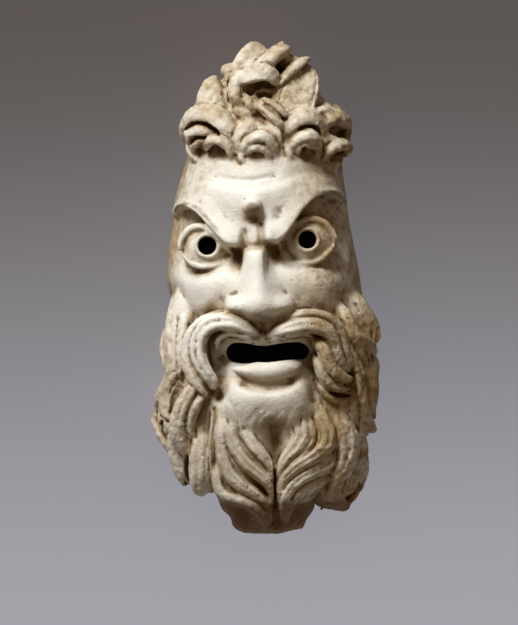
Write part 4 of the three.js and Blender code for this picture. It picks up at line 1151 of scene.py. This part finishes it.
def patina_and_shade_group():
    """A tan film and a brown that gathers in hollows, with clouds, specks and fine grain. The brown is
    partly patina and partly painted shade, and the film also darkens the right side as painted shade.
    """
    group, given, out = shader_group(
        "marble patina and painted shade",
        [("Stone", "NodeSocketColor", (0.8, 0.75, 0.65, 1)),
         ("Film and Shade", "NodeSocketColor", (0.55, 0.42, 0.25, 1)),
         ("Patina and Shade", "NodeSocketColor", (0.3, 0.2, 0.1, 1)),
         ("Hollow", "NodeSocketFloat", 0.0),
         ("Drop", "NodeSocketFloat", 0.0)],
        [("Color", "NodeSocketColor"), ("Roughness", "NodeSocketFloat"),
         ("Height", "NodeSocketFloat")],
    )
    stone, wash, brown, hollow, drop = given.outputs[:5]
    place = group.nodes.new("ShaderNodeTexCoord").outputs["Object"]
    clouds = noise_node(group, place, 26, 5)
    blotches = noise_node(group, place, 150, 5, 0.65)
    grain = noise_node(group, place, 600, 5, 0.7)
    spot = group.nodes.new("ShaderNodeSeparateXYZ")
    group.links.new(place, spot.inputs[0])
    ragged = math_node(group, "MULTIPLY", math_node(group, "SUBTRACT", blotches, 0.5), 0.5)
    # the brown in closed-in places and crevices is partly patina and partly painted shade, and the drop
    # also carries crust and painted shade set at places
    deep = ramp(group, math_node(group, "ADD", hollow, ragged), 0.06, 0.48, 0, 0.9)
    shallow = ramp(group, math_node(group, "ADD", drop, ragged), 0.16, 0.56, 0, 0.85)
    worn = ramp(group, drop, -0.7, -0.15, 0.5, 1)
    # the film lies on the hair, the beard and the crown; on the right side it is painted shade, and it
    # darkens all near the floor
    film_and_shade_reach = ramp(group, squares_of(group, spot, 0.062, 0.085), 0.7, 1.5, 0, 0.7)
    for way, low, high, to_low, to_high in (("Y", 0.08, 0.12, 0, 0.9), ("X", 0, 0.05, 0, 1.3),
                                            ("Z", 0.02, 0.06, 1.5, 0)):
        film_and_shade_reach = math_node(group, "MAXIMUM", film_and_shade_reach,
                          ramp(group, spot.outputs[way], low, high, to_low, to_high))
    patchy = ramp(group, math_node(group, "ADD", clouds, ragged), 0.25, 0.75, 0.3, 1.1)
    film_and_painted_shade = math_node(group, "MULTIPLY", film_and_shade_reach, patchy, clamp=True)
    # closed-in places take the film too, partly as patina and partly as painted shade
    film_and_painted_shade = math_node(group, "MAXIMUM", film_and_painted_shade, ramp(group, hollow, 0, 0.16, 0, 0.7))
    film_and_painted_shade = math_node(group, "MAXIMUM", film_and_painted_shade, ramp(group, clouds, 0.5, 0.8, 0, 0.4))
    mottle = math_node(group, "MULTIPLY", film_and_shade_reach, ramp(group, blotches, 0.44, 0.7, 0, 0.45))
    stain_and_painted_shade = math_node(group, "MAXIMUM", math_node(group, "MAXIMUM", deep, shallow), mottle)
    stain_and_painted_shade = math_node(group, "MULTIPLY", stain_and_painted_shade, worn)
    colour = mixed(group, math_node(group, "MULTIPLY", film_and_painted_shade, worn), stone, wash)
    # stains, patina and painted shade all lay the same brown over the film
    colour = mixed(group, stain_and_painted_shade, colour, brown)
    specks = group.nodes.new("ShaderNodeTexVoronoi")
    specks.inputs["Scale"].default_value = 170
    group.links.new(place, specks.inputs["Vector"])
    fleck = math_node(group, "MULTIPLY", ramp(group, specks.outputs["Distance"], 0.08, 0.2, 1, 0),
                      ramp(group, blotches, 0.54, 0.62))
    colour = mixed(group, math_node(group, "MULTIPLY", fleck, 0.6), colour, (0.13, 0.075, 0.03, 1))
    group.links.new(colour, out.inputs["Color"])
    group.links.new(ramp(group, stain_and_painted_shade, 0, 1, 0.5, 0.85), out.inputs["Roughness"])
    height = math_node(group, "SUBTRACT", grain, fleck)
    height = math_node(group, "ADD", height, math_node(group, "MULTIPLY", blotches, 1.2))
    group.links.new(height, out.inputs["Height"])
    return group


def marble_material():
    settings = bpy.context.scene.mask_marble
    material = bpy.data.materials.new("worn_marble")
    material.use_nodes = True
    tree = material.node_tree
    shader = tree.nodes["Principled BSDF"]
    wear = tree.nodes.new("ShaderNodeGroup")
    wear.node_tree = patina_and_shade_group()
    wear.inputs["Stone"].default_value = settings.stone
    wear.inputs["Film and Shade"].default_value = settings.film_and_painted_shade
    wear.inputs["Patina and Shade"].default_value = settings.patina_and_shade
    for title, name in (("Hollow", "hollow"), ("Drop", "drop")):
        attribute = tree.nodes.new("ShaderNodeAttribute")
        attribute.attribute_name = name
        tree.links.new(attribute.outputs["Fac"], wear.inputs[title])
    bump = tree.nodes.new("ShaderNodeBump")
    bump.inputs["Strength"].default_value = 0.7
    bump.inputs["Distance"].default_value = 0.0005
    tree.links.new(wear.outputs["Height"], bump.inputs["Height"])
    tree.links.new(wear.outputs["Color"], shader.inputs["Base Color"])
    tree.links.new(wear.outputs["Roughness"], shader.inputs["Roughness"])
    tree.links.new(bump.outputs["Normal"], shader.inputs["Normal"])
    shader.inputs["Specular IOR Level"].default_value = 0.3
    shader.inputs["Subsurface Weight"].default_value = 0.12
    shader.inputs["Subsurface Radius"].default_value = (1.0, 0.6, 0.35)
    shader.inputs["Subsurface Scale"].default_value = 0.002
    return material


def floor_material(settings):
    """A floor graded as painted shade, darker and browner towards the hair, lighter and bluer towards
    the beard.
    """
    material = bpy.data.materials.new("floor_painted_shade")
    material.use_nodes = True
    tree = material.node_tree
    place = tree.nodes.new("ShaderNodeSeparateXYZ")
    tree.links.new(tree.nodes.new("ShaderNodeTexCoord").outputs["Object"], place.inputs[0])
    shade = mixed(tree, ramp(tree, place.outputs["Y"], -0.26, 0.2), settings.floor, settings.floor_far)
    # the floor inside the hollow back shows only through the mouth and the pupils, and is painted black
    # there as painted shade
    inside = squares_of(tree, place, 0.06, 0.12)
    shade = mixed(tree, ramp(tree, inside, 0.9, 1.1, 1, 0), shade, (0.001, 0.001, 0.001, 1))
    shader = tree.nodes["Principled BSDF"]
    tree.links.new(shade, shader.inputs["Base Color"])
    shader.inputs["Roughness"].default_value = 0.9
    shader.inputs["Specular IOR Level"].default_value = 0
    return material


class MaskCarving(bpy.types.PropertyGroup):
    """Sizes of the carving."""

    grain: bpy.props.FloatProperty(
        name="Grain", description="Spacing of the points that the surface is carved with",
        default=0.00075, min=0.0004, max=0.004, unit="LENGTH")
    pupil_radius: bpy.props.FloatProperty(
        name="Pupil radius", description="Radius of the drilled pupils",
        default=0.0063, min=0.002, max=0.008, unit="LENGTH")
    wear: bpy.props.FloatProperty(
        name="Wear", description="How far dents and chips are worn in, as a share of the real one",
        default=1.0, min=0.0, max=3.0, subtype="FACTOR")
    faces: bpy.props.IntProperty(
        name="Faces", description="Most triangles that the finished mask keeps",
        default=196000, min=20000, max=199000)


class MaskMarble(bpy.types.PropertyGroup):
    """Colours of the marble."""

    stone: bpy.props.FloatVectorProperty(
        name="Stone", description="Colour of the clean marble on the high parts",
        default=(0.84, 0.815, 0.75, 1), size=4, min=0, max=1, subtype="COLOR")
    # the film's tan also serves as painted shade on the right side and in closed-in places
    film_and_painted_shade: bpy.props.FloatVectorProperty(
        name="Film and Shade", description="Colour of the thin film on the hair, the beard and the sides",
        default=(0.44, 0.33, 0.185, 1), size=4, min=0, max=1, subtype="COLOR")
    # the brown serves for patina and crust and for painted shade in the recesses
    patina_and_shade: bpy.props.FloatVectorProperty(
        name="Patina and Shade", description="Colour that has gathered in the recesses",
        default=(0.19, 0.11, 0.042, 1), size=4, min=0, max=1, subtype="COLOR")


class MaskStage(bpy.types.PropertyGroup):
    """The floor, the lights and the camera."""

    # the floor's two colours grade it from light to dark as painted shade
    floor: bpy.props.FloatVectorProperty(
        name="Floor", description="Colour of the floor on the beard's side",
        default=(0.56, 0.6, 0.7, 1), size=4, min=0, max=1, subtype="COLOR")
    floor_far: bpy.props.FloatVectorProperty(
        name="Far floor", description="Colour of the floor on the hair's side",
        default=(0.165, 0.155, 0.155, 1), size=4, min=0, max=1, subtype="COLOR")
    key_power: bpy.props.FloatProperty(
        name="Key light", description="Power of the main light, from above the hair",
        default=45.5, min=0, max=500, unit="POWER")
    wash_power: bpy.props.FloatProperty(
        name="Floor light", description="Power of the soft light on the floor",
        default=78, min=0, max=500, unit="POWER")
    camera_height: bpy.props.FloatProperty(
        name="Camera height", description="Height of the camera over the floor",
        default=4.0, min=0.5, max=8, unit="LENGTH")


class MASK_OT_carve(bpy.types.Operator):
    """Carve the marble mask in place of its plain solid"""

    bl_idname = "marble_mask.carve"
    bl_label = "Carve the Mask"

    def execute(self, context):
        mask = rough_out()
        for step in (open_up, soften_valleys, carve_lines, weather, flatten_back, thin_out):
            step(mask)
        pick(mask)
        bpy.ops.object.shade_smooth()
        mark_hollows(mask)
        mask.data.materials.clear()
        mask.data.materials.append(marble_material())
        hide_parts("marble_mask")
        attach(mask, "root")
        return {"FINISHED"}


def add_lamp(name, place, size, power, tint, lit):
    """A soft square lamp that is aimed at the mask and lights the given pieces alone."""
    bpy.ops.object.light_add(type="AREA", location=place)
    lamp = bpy.context.object
    lamp.name = name
    lamp.data.size = size
    lamp.data.energy = power
    lamp.data.color = tint
    lamp.rotation_euler = (-Vector(place)).to_track_quat("-Z", "Y").to_euler()
    pieces = bpy.data.collections.new(name + "_lit")
    for piece in lit:
        pieces.objects.link(piece)
    lamp.light_linking.receiver_collection = pieces
    lamp.light_linking.blocker_collection = pieces


class MASK_OT_stage(bpy.types.Operator):
    """Lay out the floor, the lights and the camera"""

    bl_idname = "marble_mask.stage"
    bl_label = "Set the Stage"

    def execute(self, context):
        settings = context.scene.mask_stage
        pieces = [piece for piece in context.scene.objects if piece.type == "MESH"]
        deselect()
        bpy.ops.mesh.primitive_plane_add(size=8)
        floor = context.object
        floor.name = "floor"
        floor.data.materials.append(floor_material(settings))
        # the key lights the mask alone and the wash the floor, as in a studio with a far backdrop
        add_lamp("key", (-0.72, 1.42, 1.12), 0.6, settings.key_power, (1, 1, 0.99), pieces)
        add_lamp("wash", (0, -0.4, 3.2), 4.0, settings.wash_power, (1, 0.98, 1), [floor])
        world = bpy.data.worlds.new("room")
        world.use_nodes = True
        air = world.node_tree.nodes["Background"]
        air.inputs["Color"].default_value = (1, 0.73, 0.44, 1)
        air.inputs["Strength"].default_value = 0.16
        context.scene.world = world
        context.scene.view_settings.view_transform = "Standard"
        # the camera looks straight down, and frames as much as the photograph does
        bpy.ops.object.camera_add(location=(-0.00486, -0.0171, settings.camera_height))
        camera = context.object
        camera.name = "camera"
        to_hair = settings.camera_height - 0.05
        camera.data.lens = camera.data.sensor_width * to_hair / (PHOTO_HEIGHT * PIXEL * MM)
        camera.data.clip_start = 0.01
        context.scene.camera = camera
        return {"FINISHED"}


class MASK_PT_panel(bpy.types.Panel):
    """Lists the mask's sizes, colours and steps"""

    bl_label = "Marble Mask"
    bl_idname = "MASK_PT_panel"
    bl_space_type = "VIEW_3D"
    bl_region_type = "UI"
    bl_category = "Mask"

    def draw(self, context):
        layout = self.layout
        for settings in (context.scene.mask_carving, context.scene.mask_marble,
                         context.scene.mask_stage):
            box = layout.box()
            for name in settings.bl_rna.properties.keys():
                if name not in ("name", "rna_type"):
                    box.prop(settings, name)
        layout.operator(MASK_OT_carve.bl_idname)
        layout.operator(MASK_OT_stage.bl_idname)


CLASSES = (MaskCarving, MaskMarble, MaskStage, MASK_OT_carve, MASK_OT_stage, MASK_PT_panel)


def register():
    for cls in CLASSES:
        bpy.utils.register_class(cls)
    bpy.types.Scene.mask_carving = bpy.props.PointerProperty(type=MaskCarving)
    bpy.types.Scene.mask_marble = bpy.props.PointerProperty(type=MaskMarble)
    bpy.types.Scene.mask_stage = bpy.props.PointerProperty(type=MaskStage)


def unregister():
    del bpy.types.Scene.mask_stage
    del bpy.types.Scene.mask_marble
    del bpy.types.Scene.mask_carving
    for cls in reversed(CLASSES):
        bpy.utils.unregister_class(cls)


def main():
    register()
    bpy.ops.marble_mask.carve()
    bpy.ops.marble_mask.stage()


if __name__ == "__main__":
    main()
